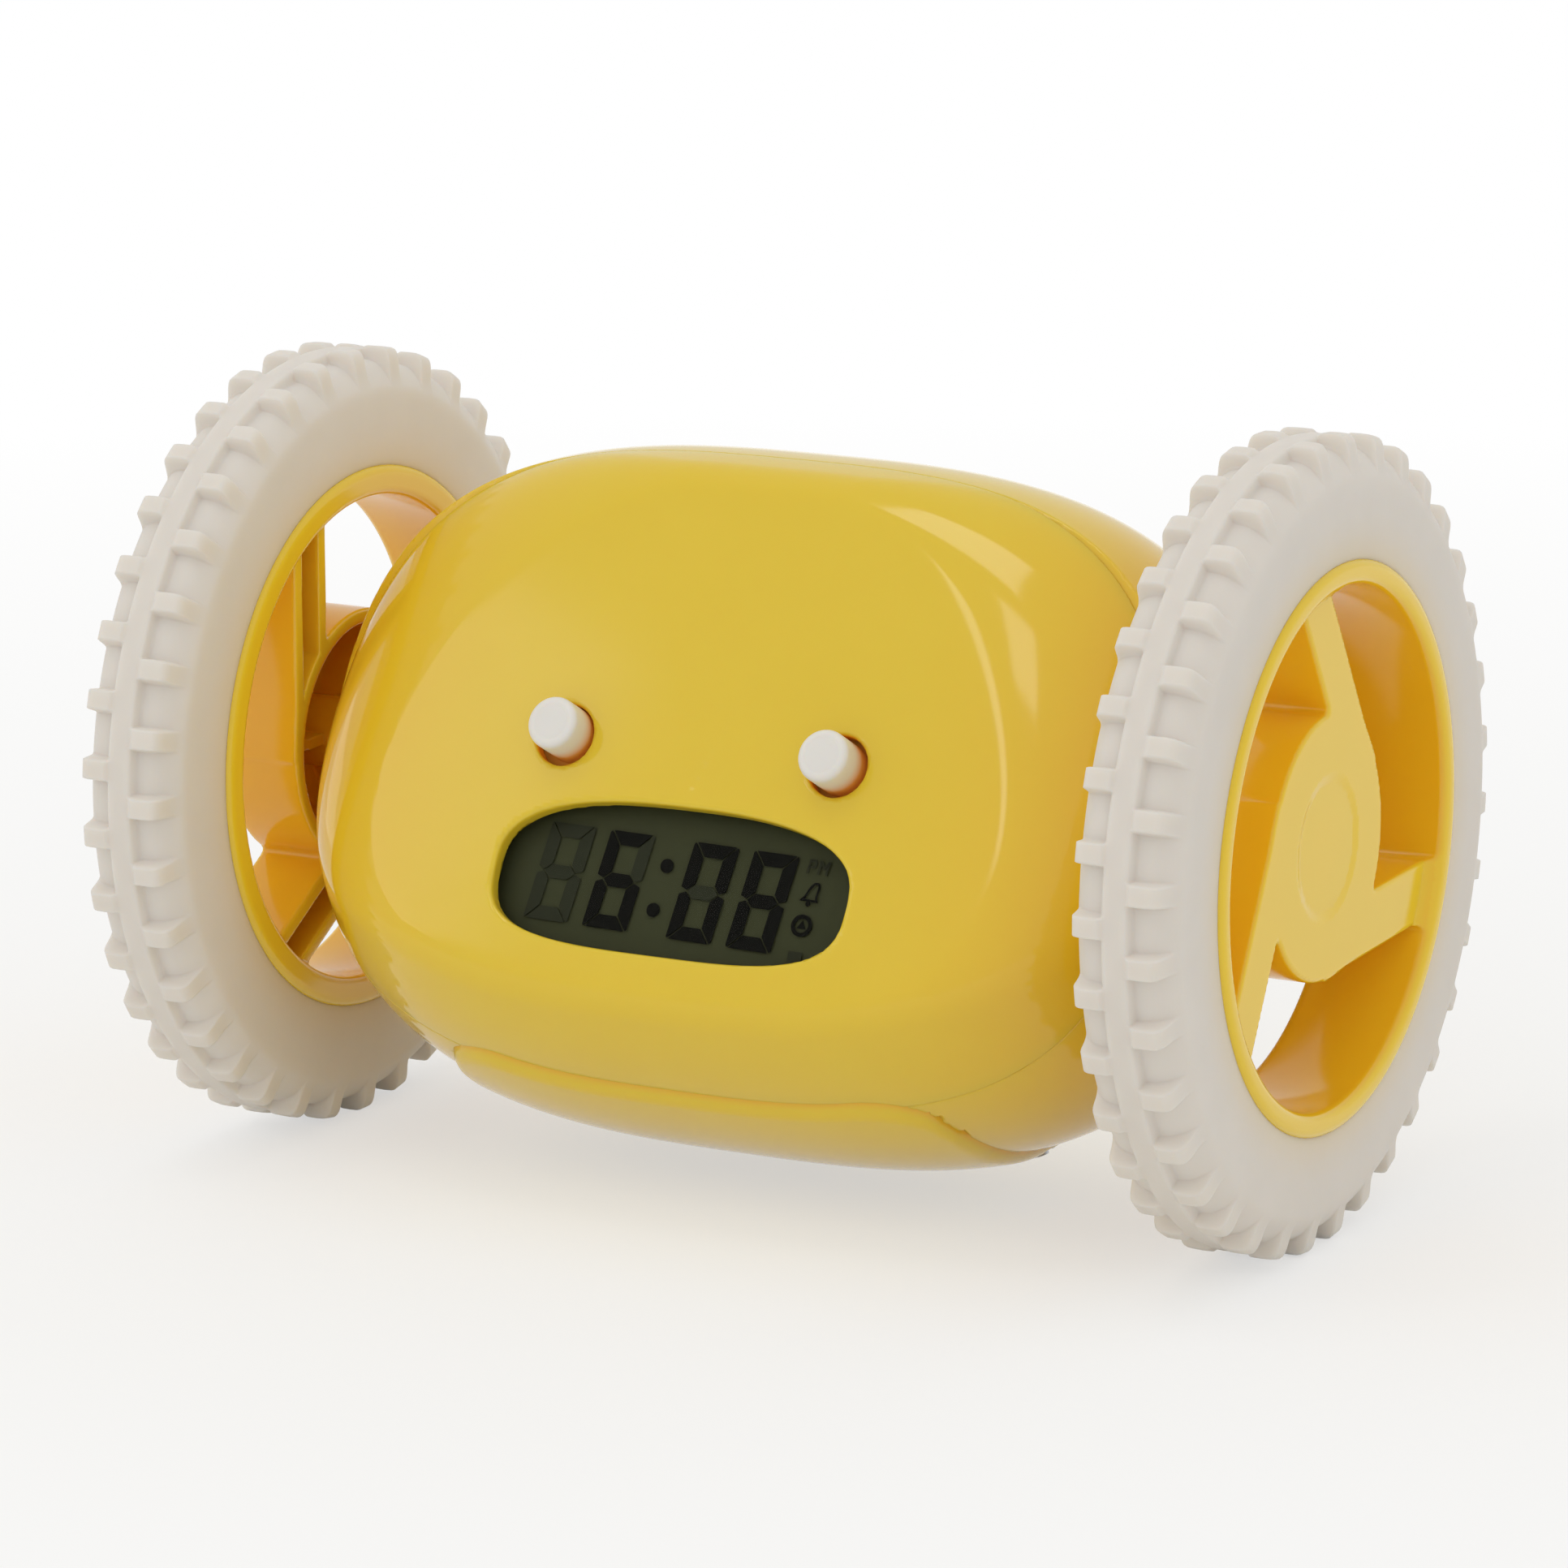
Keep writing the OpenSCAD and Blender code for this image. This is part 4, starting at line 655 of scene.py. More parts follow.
with_painted_light = add(tree, "ShaderNodeMixRGB", {"Fac": painted_rim_light.outputs["Fac"], "Color1": milk.outputs["Color"],
                                        "Color2": colour("#e6c98c")})
matt = add(tree, "ShaderNodeMapRange", {"Value": grain.outputs["Fac"], "To Min": 0.48, "To Max": 0.62})
bump = add(tree, "ShaderNodeBump", {"Height": grain.outputs["Fac"], "Strength": 0.25, "Distance": 0.00003})
skin = add(tree, "ShaderNodeBsdfPrincipled", {
    "Base Color": with_painted_light.outputs["Color"], "Roughness": matt.outputs["Result"], "IOR": 1.41,
    "Normal": bump.outputs["Normal"], "Subsurface Weight": 0.5, "Subsurface Scale": 0.003,
    "Subsurface Radius": (1.0, 0.8, 0.6)})
add(tree, "ShaderNodeOutputMaterial", {"Surface": skin.outputs["BSDF"]})

for side, flip in (("right", 1.0), ("left", -1.0)):
    tyre = add_piece(side + "_tyre_moulding", tyre_points * [flip, flip, 1.0], tyre_faces, tyre_rubber)
    give(tyre, "painted_rim_light", rim_light_painted)
    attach(tyre, side + "_wheel")
    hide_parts(side + "_tyre")


# ---------------------------------------------------------------- eye buttons
# Two white ABS push rods with flat, softly edged ends, each with a faint ring moulded in. A
# flange behind the face holds them in, a stem reaches the rubber dome on the board. They have some
# play, and neither sits quite in the middle of its hole.


def lathe(profile, steps):
    """Turns a profile of (along, radius) about its axis. Ends at radius 0 become one point."""
    profile = np.asarray(profile, float)
    turn = np.linspace(0, 2 * np.pi, steps, endpoint=False)
    rings = np.stack([np.repeat(profile[1:-1, :1], steps, 1), profile[1:-1, 1:] * np.cos(turn),
                      profile[1:-1, 1:] * np.sin(turn)], -1).reshape(-1, 3)
    out = np.concatenate([[[profile[0, 0], 0, 0]], rings, [[profile[-1, 0], 0, 0]]])
    last, faces = len(out) - 1, []
    for k in range(steps):
        n = (k + 1) % steps
        faces.append((0, 1 + k, 1 + n))
        for m in range(len(profile) - 3):
            a, b = 1 + m * steps, 1 + (m + 1) * steps
            faces.append((a + k, b + k, b + n, a + n))
        faces.append((last, last - steps + n, last - steps + k))
    return out, faces


# White ABS, IOR 1.53, faint tone patches of 6 mm and a light satin gloss. Where the rod goes into
# the yellow shell, an orange shade is painted on, rising from 0 to 1 there.
button_abs, tree, place = new_material("abs_satin_white")
tone = add(tree, "ShaderNodeTexNoise", {"Vector": place, "Scale": 170.0, "Detail": 3.0})
white = add(tree, "ShaderNodeMixRGB", {"Fac": tone.outputs["Fac"], "Color1": colour("#e2e0db"),
                                       "Color2": colour("#e8e6e2")})
inner = add(tree, "ShaderNodeAttribute", attribute_name="painted_shade_glow")
with_painted_light = add(tree, "ShaderNodeMixRGB", {"Fac": inner.outputs["Fac"], "Color1": white.outputs["Color"],
                                        "Color2": colour("#f0b04a")})
gloss = add(tree, "ShaderNodeMapRange", {"Value": tone.outputs["Fac"], "To Min": 0.3, "To Max": 0.42})
skin = add(tree, "ShaderNodeBsdfPrincipled", {
    "Base Color": with_painted_light.outputs["Color"], "Roughness": gloss.outputs["Result"], "IOR": 1.53,
    "Subsurface Weight": 0.5, "Subsurface Scale": 0.002, "Subsurface Radius": (1.0, 0.75, 0.5)})
add(tree, "ShaderNodeOutputMaterial", {"Surface": skin.outputs["BSDF"]})

# Depth from the face and radius: the end with its ring, the rod, the flange and the stem.
EYE_PROFILE = [
    (-3.8, 0), (-3.8, 1.0), (-3.79, 1.8), (-3.75, 1.95), (-3.75, 2.05), (-3.78, 2.2), (-3.76, 2.4),
    (-3.7, 2.6), (-3.58, 2.78), (-3.42, 2.91), (-3.22, 2.98), (-3.0, 3.0), (-1.5, 3.0), (-1.0, 3.0),
    (-0.6, 3.0), (-0.3, 3.0), (0, 3.0), (0.4, 3.0), (2.25, 3.0), (2.3, 3.05), (2.32, 3.95),
    (2.4, 4.05), (3.2, 4.05), (3.3, 3.95), (3.32, 2.2), (7.9, 2.2), (8.0, 2.1), (8.0, 0)]
# X and height along the face, each a little off the middle of its hole.
EYES = (("left", -EYE_X + 0.1, EYE_Z + 0.36), ("right", EYE_X - 0.2, EYE_Z + 0.1))
for side, x, up in EYES:
    turned, faces = lathe(EYE_PROFILE, 64)
    y, z = from_face(turned[:, 0], turned[:, 2] + up)
    eye = add_piece(side + "_eye_cap", np.stack([turned[:, 1] + x, y, z], 1), faces, button_abs)
    # Painted orange shade on the rod where it goes into the shell.
    give(eye, "painted_shade_glow", np.clip((turned[:, 0] + 2.0) / 2.4, 0, 1) ** 1.6)
    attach(eye, side + "_eye")
    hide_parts(side + "_eye_button")


# ---------------------------------------------------------------- display
# A clear acrylic window behind the face's opening, and under it the LCD: olive grey glass whose
# digits stand as thin dark films in front of the reflector. Unlit segments show as a faint tint.

# Acrylic, IOR 1.49, coated against glare so that a twentieth of the usual reflection is left. It
# is thin, so light goes straight through. The gloss varies over 5 mm.
acrylic, tree, place = new_material("acrylic_clear_window")
wipe = add(tree, "ShaderNodeTexNoise", {"Vector": place, "Scale": 200.0, "Detail": 2.0})
gloss = add(tree, "ShaderNodeMapRange", {"Value": wipe.outputs["Fac"], "To Min": 0.02, "To Max": 0.06})
edge = add(tree, "ShaderNodeFresnel", {"IOR": 1.49})
coat = add(tree, "ShaderNodeMapRange", {"Value": edge.outputs["Fac"], "To Max": 0.05})
clear = add(tree, "ShaderNodeBsdfTransparent", {"Color": colour("#eeeee8")})
shine = add(tree, "ShaderNodeBsdfGlossy", {"Color": colour("#ffffff"), "Roughness": gloss.outputs["Result"]})
both = add(tree, "ShaderNodeMixShader", {"Fac": coat.outputs["Result"], 1: clear.outputs["BSDF"],
                                         2: shine.outputs["BSDF"]})
add(tree, "ShaderNodeOutputMaterial", {"Surface": both.outputs["Shader"]})
paint(acrylic, "display_lens")

# LCD glass over its grey-green reflector: a fine sparkle of 0.15 mm, drawn coarser than the real
# one, and a slow change of tone across the panel.
lcd_glass, tree, place = new_material("lcd_reflector_olive")
sparkle = add(tree, "ShaderNodeTexNoise", {"Vector": place, "Scale": 4000.0, "Detail": 1.0})
slow = add(tree, "ShaderNodeTexNoise", {"Vector": place, "Scale": 45.0, "Detail": 1.0})
olive = add(tree, "ShaderNodeMixRGB", {"Fac": slow.outputs["Fac"], "Color1": colour("#4d513c"),
                                       "Color2": colour("#545843")})
gloss = add(tree, "ShaderNodeMapRange", {"Value": sparkle.outputs["Fac"], "To Min": 0.4, "To Max": 0.55})
bump = add(tree, "ShaderNodeBump", {"Height": sparkle.outputs["Fac"], "Strength": 0.1, "Distance": 0.00001})
skin = add(tree, "ShaderNodeBsdfPrincipled", {
    "Base Color": olive.outputs["Color"], "Roughness": gloss.outputs["Result"], "IOR": 1.52,
    "Specular IOR Level": 0.15, "Normal": bump.outputs["Normal"]})
add(tree, "ShaderNodeOutputMaterial", {"Surface": skin.outputs["BSDF"]})
paint(lcd_glass, "lcd_panel")

DIGIT_W, DIGIT_H, DIGIT_LOW, BAR, SLANT = 5.75, 11.35, -23.65, 1.75, 0.088
FILM_DEPTH = (3.24, 3.29)  # behind the face; the LCD starts at 3.5
LCD_SLOPE = 0.02  # the LCD sits a little askew in its holder


def inset(outline, gap):
    """A convex outline, anticlockwise, with every edge moved inwards by gap."""
    outline = np.asarray(outline, float)
    edge = np.roll(outline, -1, 0) - outline
    edge /= np.sqrt((edge ** 2).sum(1))[:, None]
    start = outline + np.stack([-edge[:, 1], edge[:, 0]], 1) * gap
    before_start, before = np.roll(start, 1, 0), np.roll(edge, 1, 0)
    cross = before[:, 0] * edge[:, 1] - before[:, 1] * edge[:, 0]
    gap_to = start - before_start
    along = (gap_to[:, 0] * edge[:, 1] - gap_to[:, 1] * edge[:, 0]) / cross
    return before_start + before * along[:, None]


# The seven segments of one digit: width, height, middle and bar, from the lower left corner.
W, H, M, T = DIGIT_W, DIGIT_H, DIGIT_H / 2, BAR
SEGMENTS = {
    "top": [(0.25, H), (T, H - T), (W - T, H - T), (W - 0.25, H)],
    "bottom": [(0.25, 0), (W - 0.25, 0), (W - T, T), (T, T)],
    "middle": [(T / 2, M), (T, M - T / 2), (W - T, M - T / 2), (W - T / 2, M),
               (W - T, M + T / 2), (T, M + T / 2)],
    "upper_left": [(0, H - 0.3), (0, M + 0.35), (T / 2, M), (T, M + T / 2), (T, H - T), (0.25, H)],
    "lower_left": [(0, M - 0.35), (0, 0.3), (0.25, 0), (T, T), (T, M - T / 2), (T / 2, M)],
    "upper_right": [(W, H - 0.3), (W - 0.25, H), (W - T, H - T), (W - T, M + T / 2),
                    (W - T / 2, M), (W, M + 0.35)],
    "lower_right": [(W, M - 0.35), (W - T / 2, M), (W - T, M - T / 2), (W - T, T),
                    (W - 0.25, 0), (W, 0.3)]}
# X of each digit and its lit segments: a switched-off one, then 6, 0 and 8.
DIGITS = ((-18.7, ()), (-11.25, tuple(n for n in SEGMENTS if n != "upper_right")),
          (-0.7, tuple(n for n in SEGMENTS if n != "middle")), (6.75, tuple(SEGMENTS)))
SEGMENT_GAP = 0.09  # half the gap between two segments
COLON = ((-2.4, -15.55), (-2.85, -20.65))


def disc(x, up, r, steps=32):
    """A round outline."""
    turn = np.linspace(0, 2 * np.pi, steps, endpoint=False)
    return np.stack([x + r * np.cos(turn), up + r * np.sin(turn)], 1)


lit, unlit = [], []
for x, shown in DIGITS:
    for name, outline in SEGMENTS.items():
        shape = inset(outline, SEGMENT_GAP)
        shape = np.stack([shape[:, 0] + x + SLANT * shape[:, 1], shape[:, 1] + DIGIT_LOW], 1)
        (lit if name in shown else unlit).append(shape)
lit += [disc(x, up, 0.8) for x, up in COLON]


def band(outer, inner):
    """Four-sided pieces that fill the space between two outlines with as many points."""
    return [np.array([outer[k], outer[k + 1 - len(outer)], inner[k + 1 - len(outer)], inner[k]])
            for k in range(len(outer))]


def stroke(x0, up0, x1, up1, width):
    """A straight bar of a width from one point to another."""
    along = np.array([x1 - x0, up1 - up0])
    across = np.array([-along[1], along[0]]) / np.sqrt((along ** 2).sum()) * width / 2
    low, high = np.array([x0, up0]), np.array([x1, up1])
    return np.array([low + across, low - across, high - across, high + across])


# Beside the digits stand a bell, drawn as a thin line with its clapper, and a ring with a triangle
# in it. Above them the switched-off PM and below a switched-off box can be made out.
BELL = np.array([(-1.0, 0), (1.0, 0), (0.68, 0.45), (0.55, 1.3), (0.28, 1.75), (-0.28, 1.75),
                 (-0.55, 1.3), (-0.68, 0.45)])
bell = np.stack([15.6 + 1.15 * BELL[:, 0] + 0.35 * BELL[:, 1], 1.25 * BELL[:, 1] - 17.2], 1)
lit += band(bell, inset(bell, 0.24)) + [disc(15.6, -17.45, 0.3, 12)]
lit += band(disc(15.45, -19.95, 1.27), disc(15.45, -19.95, 0.8))
lit += [np.array([(14.9, -20.3), (16.0, -20.3), (15.5, -19.35)])]
PM_STROKES = ((14.7, -14.1, 14.85, -12.5), (14.85, -12.6, 15.6, -12.6), (14.8, -13.35, 15.5, -13.35),
              (15.55, -12.6, 15.5, -13.3), (16.0, -14.1, 16.15, -12.5), (16.2, -12.6, 16.6, -13.4),
              (16.6, -13.4, 17.15, -12.6), (17.0, -14.1, 17.15, -12.5))
unlit += [stroke(*ends, 0.28) for ends in PM_STROKES]
unlit += [np.array([(14.6, -24.1), (16.3, -24.1), (16.3, -22.9), (14.6, -22.9)])]


def films(name, outlines, material):
    """Thin plates in front of the LCD, one for each outline."""
    points, faces = [], []
    for shape in outlines:
        n, base = len(shape), len(points)
        for depth in FILM_DEPTH:
            y, z = from_face(np.full(n, depth), shape[:, 1] - LCD_SLOPE * shape[:, 0])
            points += np.stack([shape[:, 0], y, z], 1).tolist()
        faces.append([base + k for k in range(n)])
        faces.append([base + n + k for k in range(n - 1, -1, -1)])
        faces += [[base + (k + 1) % n, base + k, base + n + k, base + n + (k + 1) % n] for k in range(n)]
    made = add_piece(name, points, faces, material, smooth=False)
    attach(made, "chassis")


# Liquid crystal between polarisers, switched dark, and the faint tint of switched-off segments.
for name, outlines, light, dark in (("lcd_digits_on", lit, "#07080b", "#0a0b0f"),
                                    ("lcd_digits_off", unlit, "#3b3f35", "#40443a")):
    film, tree, place = new_material(name + "_polariser_film")
    slow = add(tree, "ShaderNodeTexNoise", {"Vector": place, "Scale": 300.0, "Detail": 2.0})
    ink = add(tree, "ShaderNodeMixRGB", {"Fac": slow.outputs["Fac"], "Color1": colour(light),
                                         "Color2": colour(dark)})
    gloss = add(tree, "ShaderNodeMapRange", {"Value": slow.outputs["Fac"], "To Min": 0.4, "To Max": 0.5})
    skin = add(tree, "ShaderNodeBsdfPrincipled", {
        "Base Color": ink.outputs["Color"], "Roughness": gloss.outputs["Result"], "IOR": 1.52,
        "Specular IOR Level": 0.1})
    add(tree, "ShaderNodeOutputMaterial", {"Surface": skin.outputs["BSDF"]})
    films(name, outlines, film)


# ---------------------------------------------------------------- rear keys and slider
# Two white ABS keys with domed ends in the rear panel, and a black three-place slider with three
# grip ribs. Flanges behind the panel keep them in.


def from_back(above, along, turn, distance):
    """Y and Z from the height above a tangent plane of the barrel and the length along it."""
    return (BARREL_Y + (distance + above) * np.cos(turn) - along * np.sin(turn),
            BARREL_Z + (distance + above) * np.sin(turn) + along * np.cos(turn))


# Height above the panel and radius: the domed end, the flange and the stem.
KEY_PROFILE = [(1.2, 0), (1.19, 0.8), (1.13, 1.5), (1.0, 2.1), (0.8, 2.55), (0.5, 2.88), (0.1, 3.0),
               (-2.25, 3.0), (-2.3, 4.1), (-2.4, 4.2), (-3.2, 4.2), (-3.3, 4.1), (-3.32, 1.6),
               (-5.6, 1.6), (-5.7, 1.5), (-5.7, 0)]
for name, x in (("time", KEY_X), ("alarm", -KEY_X)):
    turned, faces = lathe(KEY_PROFILE[::-1], 56)
    y, z = from_back(turned[:, 0], turned[:, 2], REAR_TURN, REAR_D)
    key = add_piece(name + "_key_cap", np.stack([x + turned[:, 1], y, z], 1), faces, button_abs)
    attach(key, name + "_button")
    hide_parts(name + "_key")


def finish(name, light, dark, patch_mm, gloss_low, gloss_high, ior=1.5, metallic=0.0,
           detail=3.0, relief=0.3, depth_mm=0.01):
    """A finish whose tone and gloss vary over patches of a width in millimetres, with a matching
    fine relief. Metals keep the default IOR."""
    made, tree, place = new_material(name)
    patches = add(tree, "ShaderNodeTexNoise", {"Vector": place, "Scale": 1000.0 / patch_mm, "Detail": detail})
    tone = add(tree, "ShaderNodeMixRGB", {"Fac": patches.outputs["Fac"], "Color1": colour(light),
                                          "Color2": colour(dark)})
    gloss = add(tree, "ShaderNodeMapRange", {"Value": patches.outputs["Fac"], "To Min": gloss_low,
                                             "To Max": gloss_high})
    bump = add(tree, "ShaderNodeBump", {"Height": patches.outputs["Fac"], "Strength": relief,
                                        "Distance": depth_mm * MM})
    skin = add(tree, "ShaderNodeBsdfPrincipled", {
        "Base Color": tone.outputs["Color"], "Roughness": gloss.outputs["Result"],
        "Metallic": metallic, "Normal": bump.outputs["Normal"]})
    if not metallic:
        skin.inputs["IOR"].default_value = ior
    add(tree, "ShaderNodeOutputMaterial", {"Surface": skin.outputs["BSDF"]})
    return made


# Black ABS, IOR 1.53, matt: eroded mould grain of 0.3 mm, drawn coarser than the real 0.1 mm.
black_abs = finish("abs_matt_black", "#1c1c1e", "#252528", 1 / 3.3, 0.45, 0.6, 1.53,
                   detail=2.0, relief=0.2, depth_mm=0.02)

# Low and high corner of each block: X, height above the panel, length along it.
SLIDER_BLOCKS = [((-2.0, -3.3, -1.6), (2.0, 0.9, 1.6)), ((-4.0, -3.3, -2.6), (4.0, -2.3, 2.6)),
                 ((-1.0, -5.0, -1.0), (1.0, -3.28, 1.0)), ((-1.6, 0.85, -1.6), (-1.1, 1.2, 1.6)),
                 ((-0.25, 0.85, -1.6), (0.25, 1.2, 1.6)), ((1.1, 0.85, -1.6), (1.6, 1.2, 1.6))]
points, faces = [], []
for low, high in SLIDER_BLOCKS:
    base = len(points)
    for a in (low[0], high[0]):
        for b in (low[1], high[1]):
            for c in (low[2], high[2]):
                y, z = from_back(b, c, REAR_TURN, REAR_D)
                points.append((a, y, z))
    faces += [[base + k for k in quad] for quad in
              ((0, 1, 3, 2), (4, 6, 7, 5), (0, 4, 5, 1), (2, 3, 7, 6), (0, 2, 6, 4), (1, 5, 7, 3))]
slider = add_piece("mode_slider_knob", points, faces, black_abs, smooth=False)
rounded = slider.modifiers.new("rounded_edges", "BEVEL")
rounded.width, rounded.segments = 0.00015, 2
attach(slider, "slider")
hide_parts("mode_slider")


# ---------------------------------------------------------------- pieces inside and screws
# Boards, drive, batteries, speaker and screws keep their CAD shape, and the rubber cones get a
# softer one. Each gets the finish of what it is made of.


# Boards: green solder mask over glass fibre weave, epoxy bodies, a sleeved capacitor.
paint(finish("solder_mask_green", "#2c6a3b", "#245a31", 1.2, 0.35, 0.45, 1.5), "main_board", "key_board")
paint(finish("epoxy_black", "#17171a", "#202024", 0.8, 0.25, 0.4, 1.55), "clock_chip", "driver_chip")
paint(finish("pvc_sleeve_blue", "#2c3c5c", "#34466a", 2.0, 0.3, 0.4, 1.53), "power_capacitor")

# Under each button and key stands a cone of grey silicone rubber, which its stem presses down by
# 1.0 mm of 3.7 or by 0.8 mm of 2; the cones are drawn unpressed, at their full height. Profiles: depth
# from the face, or height above the panel, and radius.
grey_rubber = finish("silicone_rubber_grey", "#85868a", "#919296", 0.8, 0.5, 0.65, 1.41)
EYE_DOME = [(8.3, 0), (8.3, 1.9), (8.4, 2.15), (8.6, 2.2), (9.1, 2.2), (11.2, 3.8), (11.3, 4.25),
            (11.45, 4.4), (12.0, 4.4), (12.0, 0)]
KEY_DOME = [(-8.0, 0), (-8.0, 3.2), (-7.45, 3.2), (-7.3, 3.1), (-7.3, 1.85), (-7.15, 1.8),
            (-6.2, 1.8), (-6.0, 1.65), (-6.0, 0)]


def on_face(depth, along):
    """Y and Z on an eye button's line."""
    return from_face(depth, along + EYE_Z)


def on_panel(above, along):
    """Y and Z on a rear key's line."""
    return from_back(above, along, REAR_TURN, REAR_D)


for name, profile, foot_top, row_yz, x, keep in (
        ("left_eye", EYE_DOME, (12.0, 8.3), on_face, -EYE_X, 0.7),
        ("right_eye", EYE_DOME, (12.0, 8.3), on_face, EYE_X, 0.7),
        ("time_key", KEY_DOME, (-8.0, -6.0), on_panel, KEY_X, 0.55),
        ("alarm_key", KEY_DOME, (-8.0, -6.0), on_panel, -KEY_X, 0.55)):
    turned, faces = lathe(profile, 40)
    y, z = row_yz(turned[:, 0], turned[:, 2])
    foot, top = (np.array(row_yz(at, 0)) for at in foot_top)
    dome = add_piece(name + "_rubber_cone", np.stack([x + turned[:, 1], y, z], 1), faces, grey_rubber)
    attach(dome, "chassis")
    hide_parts(name + "_dome")
    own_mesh(dome)

# Contact strip of conductive rubber and the LCD's frame.
paint(finish("silicone_strip_black", "#232325", "#2e2e31", 0.6, 0.5, 0.65, 1.41), "contact_strip")
paint(finish("abs_frame_white", "#dedcd5", "#e6e4de", 3.0, 0.4, 0.5, 1.53), "lcd_holder")
# Drive: white acetal gears, natural ABS boxes, drawn steel motor cans, brass pinions and bushes.
paint(finish("acetal_white", "#e9e7e0", "#f0eee8", 1.0, 0.3, 0.42, 1.48),
      "left_idler_gear", "right_idler_gear", "left_output_gear", "right_output_gear")
paint(finish("abs_box_grey_white", "#cfd0d3", "#d8d9dc", 2.0, 0.4, 0.5, 1.53),
      "left_gear_case", "right_gear_case", "left_gear_cover", "right_gear_cover")
paint(finish("motor_can_zinc_plated", "#b9bcc0", "#c6c9cd", 2.5, 0.25, 0.38, metallic=1.0),
      "left_motor", "right_motor", "quartz_crystal", "mode_switch")
paint(finish("brass_turned", "#c49a4c", "#b98e40", 0.8, 0.22, 0.34, metallic=1.0),
      "left_motor_pinion", "right_motor_pinion", "left_axle_bush", "right_axle_bush")
paint(finish("steel_ground", "#c2c5c9", "#b4b7bc", 0.5, 0.18, 0.28, metallic=1.0),
      "left_motor_shaft", "right_motor_shaft", "left_axle", "right_axle", "left_idler_pin", "right_idler_pin")
# Zinc plated screws, nickel plated springs, cells in printed foil, and the loudspeaker.
paint(finish("screw_zinc_plated", "#b3b6bb", "#c3c6ca", 0.5, 0.28, 0.4, metallic=1.0),
      "door_screw", "shell_screws", "board_screws", "key_board_screws", "case_screws")
paint(finish("spring_nickel_plated", "#c6c8cb", "#b9bbbf", 0.6, 0.2, 0.32, metallic=1.0),
      "battery_springs", "battery_contacts")
paint(finish("cell_jacket_printed_foil", "#39424e", "#424c59", 3.0, 0.25, 0.35, metallic=1.0),
      "battery_cells")
paint(finish("speaker_paper_and_steel", "#333337", "#3f3f44", 0.7, 0.5, 0.7, 1.5), "speaker")
# The heads of these screws can be seen in their recesses, so their edges are rounded.
for name in ("door_screw", "shell_screws"):
    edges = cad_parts[name].modifiers.new("rounded_edges", "BEVEL")
    edges.width, edges.segments = 0.0001, 2


# ---------------------------------------------------------------- table, backdrop, lights, camera
# A plain pale table that runs far back, a bright tent and five small soft boxes. The camera stands
# where the photograph was taken from, fitted to the wheels' circles.

white_table, tree, place = new_material("table_matt_white")
clouds = add(tree, "ShaderNodeTexNoise", {"Vector": place, "Scale": 4.0, "Detail": 2.0})
pale = add(tree, "ShaderNodeMixRGB", {"Fac": clouds.outputs["Fac"], "Color1": colour("#f6f6f5"),
                                      "Color2": colour("#f8f8f7")})
matt = add(tree, "ShaderNodeBsdfDiffuse", {"Color": pale.outputs["Color"]})
# To the camera and in reflections the table fades to plain white: 55 % of it near the clock, all
# of it 0.5 m away.
away = add(tree, "ShaderNodeVectorMath", {0: place}, operation="LENGTH")
fade = add(tree, "ShaderNodeMapRange", {"Value": away.outputs["Value"], "From Min": 0.1, "From Max": 0.5,
                                        "To Min": 0.55, "To Max": 1.0})
path = add(tree, "ShaderNodeLightPath")
straight = add(tree, "ShaderNodeMath", {0: path.outputs["Is Camera Ray"], 1: path.outputs["Is Glossy Ray"]},
               operation="MAXIMUM")
share = add(tree, "ShaderNodeMath", {0: fade.outputs["Result"], 1: straight.outputs["Value"]},
            operation="MULTIPLY")
paper = add(tree, "ShaderNodeEmission", {"Color": colour("#ffffff"), "Strength": 1.0})
lift = add(tree, "ShaderNodeMixShader", {"Fac": share.outputs["Value"], 1: matt.outputs["BSDF"],
                                         2: paper.outputs["Emission"]})
add(tree, "ShaderNodeOutputMaterial", {"Surface": lift.outputs["Shader"]})
table = add_piece("table", [(-6000, -6000, 0), (6000, -6000, 0), (6000, 6000, 0), (-6000, 6000, 0)],
                  [(0, 1, 2, 3)], white_table, above=0.0)
table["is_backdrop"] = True

world = bpy.data.worlds.new("light_tent")
bpy.context.scene.world = world
world.use_nodes = True
tree = world.node_tree
tree.nodes.clear()
path = add(tree, "ShaderNodeLightPath")
tent = add(tree, "ShaderNodeBackground", {"Color": colour("#fffefb"), "Strength": 0.82})
white = add(tree, "ShaderNodeBackground", {"Color": colour("#ffffff"), "Strength": 1.0})
seen = add(tree, "ShaderNodeMixShader", {"Fac": path.outputs["Is Camera Ray"], 1: tent.outputs["Background"],
                                         2: white.outputs["Background"]})
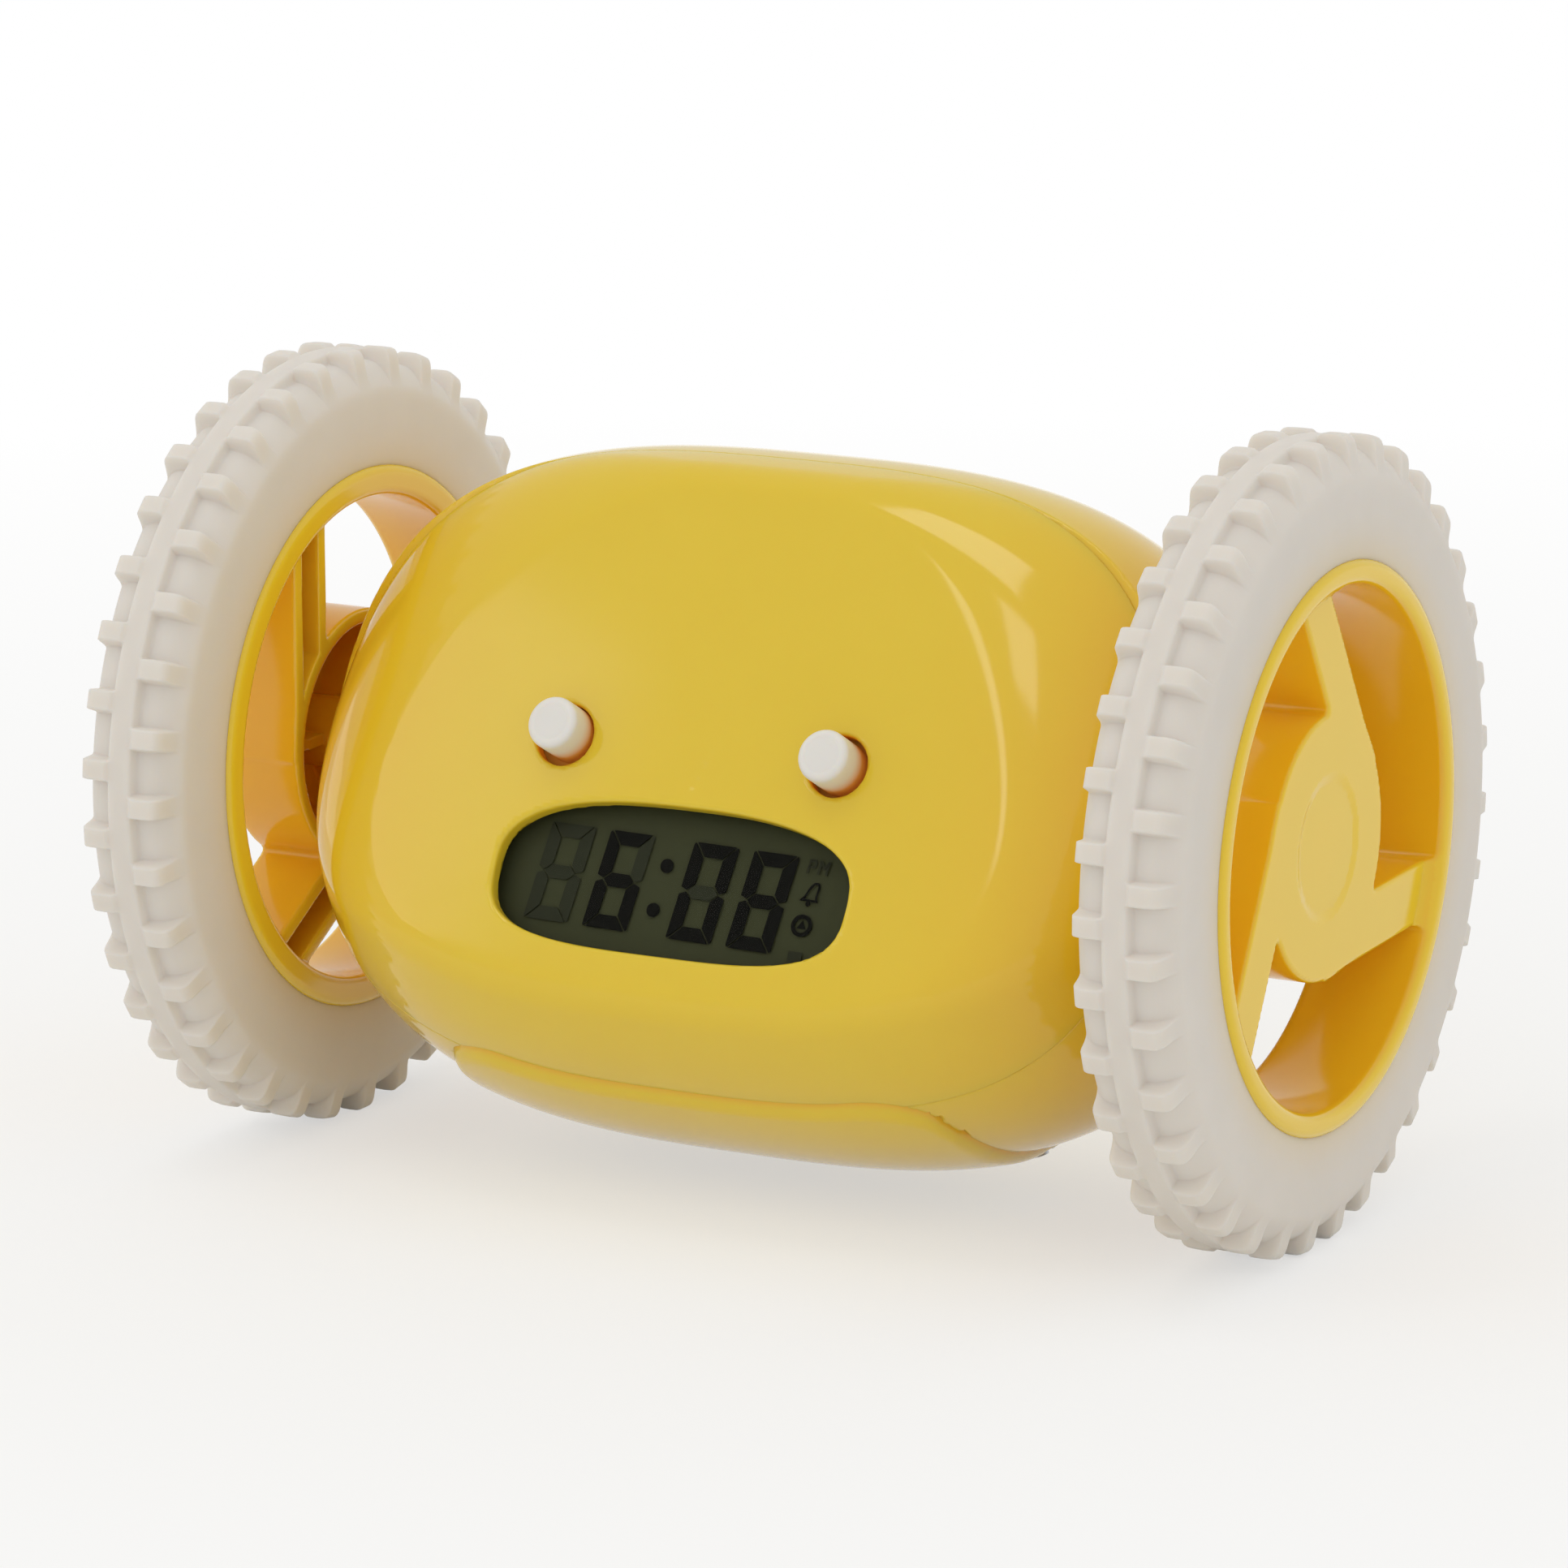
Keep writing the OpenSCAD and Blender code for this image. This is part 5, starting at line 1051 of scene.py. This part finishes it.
add(tree, "ShaderNodeOutputWorld", {"Surface": seen.outputs["Shader"]})


def soft_box(name, place, target, width, height, watts):
    """An area lamp at a place in metres, facing a target."""
    lamp = bpy.data.lights.new(name, "AREA")
    lamp.shape, lamp.size, lamp.size_y, lamp.energy = "RECTANGLE", width, height, watts
    made = bpy.data.objects.new(name, lamp)
    bpy.context.scene.collection.objects.link(made)
    made.location = place
    made.rotation_euler = (Vector(target) - Vector(place)).to_track_quat("-Z", "Y").to_euler()


centre = (0.0, 0.0, AXLE_Z * MM)


def toward(azimuth, elevation, distance):
    """A place at a distance from the clock. Azimuth 0 is in front of the face, 90 at +X."""
    a, e = np.radians(azimuth), np.radians(elevation)
    return (distance * np.sin(a) * np.cos(e), -distance * np.cos(a) * np.cos(e),
            centre[2] + distance * np.sin(e))


# The tent gives most of the light. The small boxes stand where the shoulder, the cheek, the ridge
# and the left side of the face mirror them to the camera.
for name, azimuth, elevation, width, height, watts in (
        ("shoulder", -22.0, 71.0, 0.3, 0.28, 0.6), ("cheek", -6.0, 54.0, 0.13, 0.17, 0.14),
        ("ridge", -25.0, 43.0, 0.07, 0.24, 0.12), ("face", -43.0, 29.0, 0.22, 0.3, 0.2),
        ("left_side", -92.0, 6.0, 0.3, 0.3, 0.22)):
    soft_box("box_for_" + name, toward(azimuth, elevation, 1.1), centre, width, height, watts)

view = bpy.data.cameras.new("photo_camera")
view.sensor_width, view.lens = 36.0, 165.9  # millimetres
view.clip_start, view.clip_end = 0.01, 50.0
camera = bpy.data.objects.new("photo_camera", view)
bpy.context.scene.collection.objects.link(camera)
azimuth, elevation, reach = np.radians(27.873), np.radians(12.811), 0.8125
aim = Vector((-0.00099, 0.0, 0.04501))
from_aim = Vector((np.sin(azimuth) * np.cos(elevation), -np.cos(azimuth) * np.cos(elevation),
                   np.sin(elevation)))
camera.location = aim + from_aim * reach
camera.rotation_euler = (-from_aim).to_track_quat("-Z", "Y").to_euler()
bpy.context.scene.camera = camera
bpy.context.scene.view_settings.view_transform = "Standard"

low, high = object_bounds()
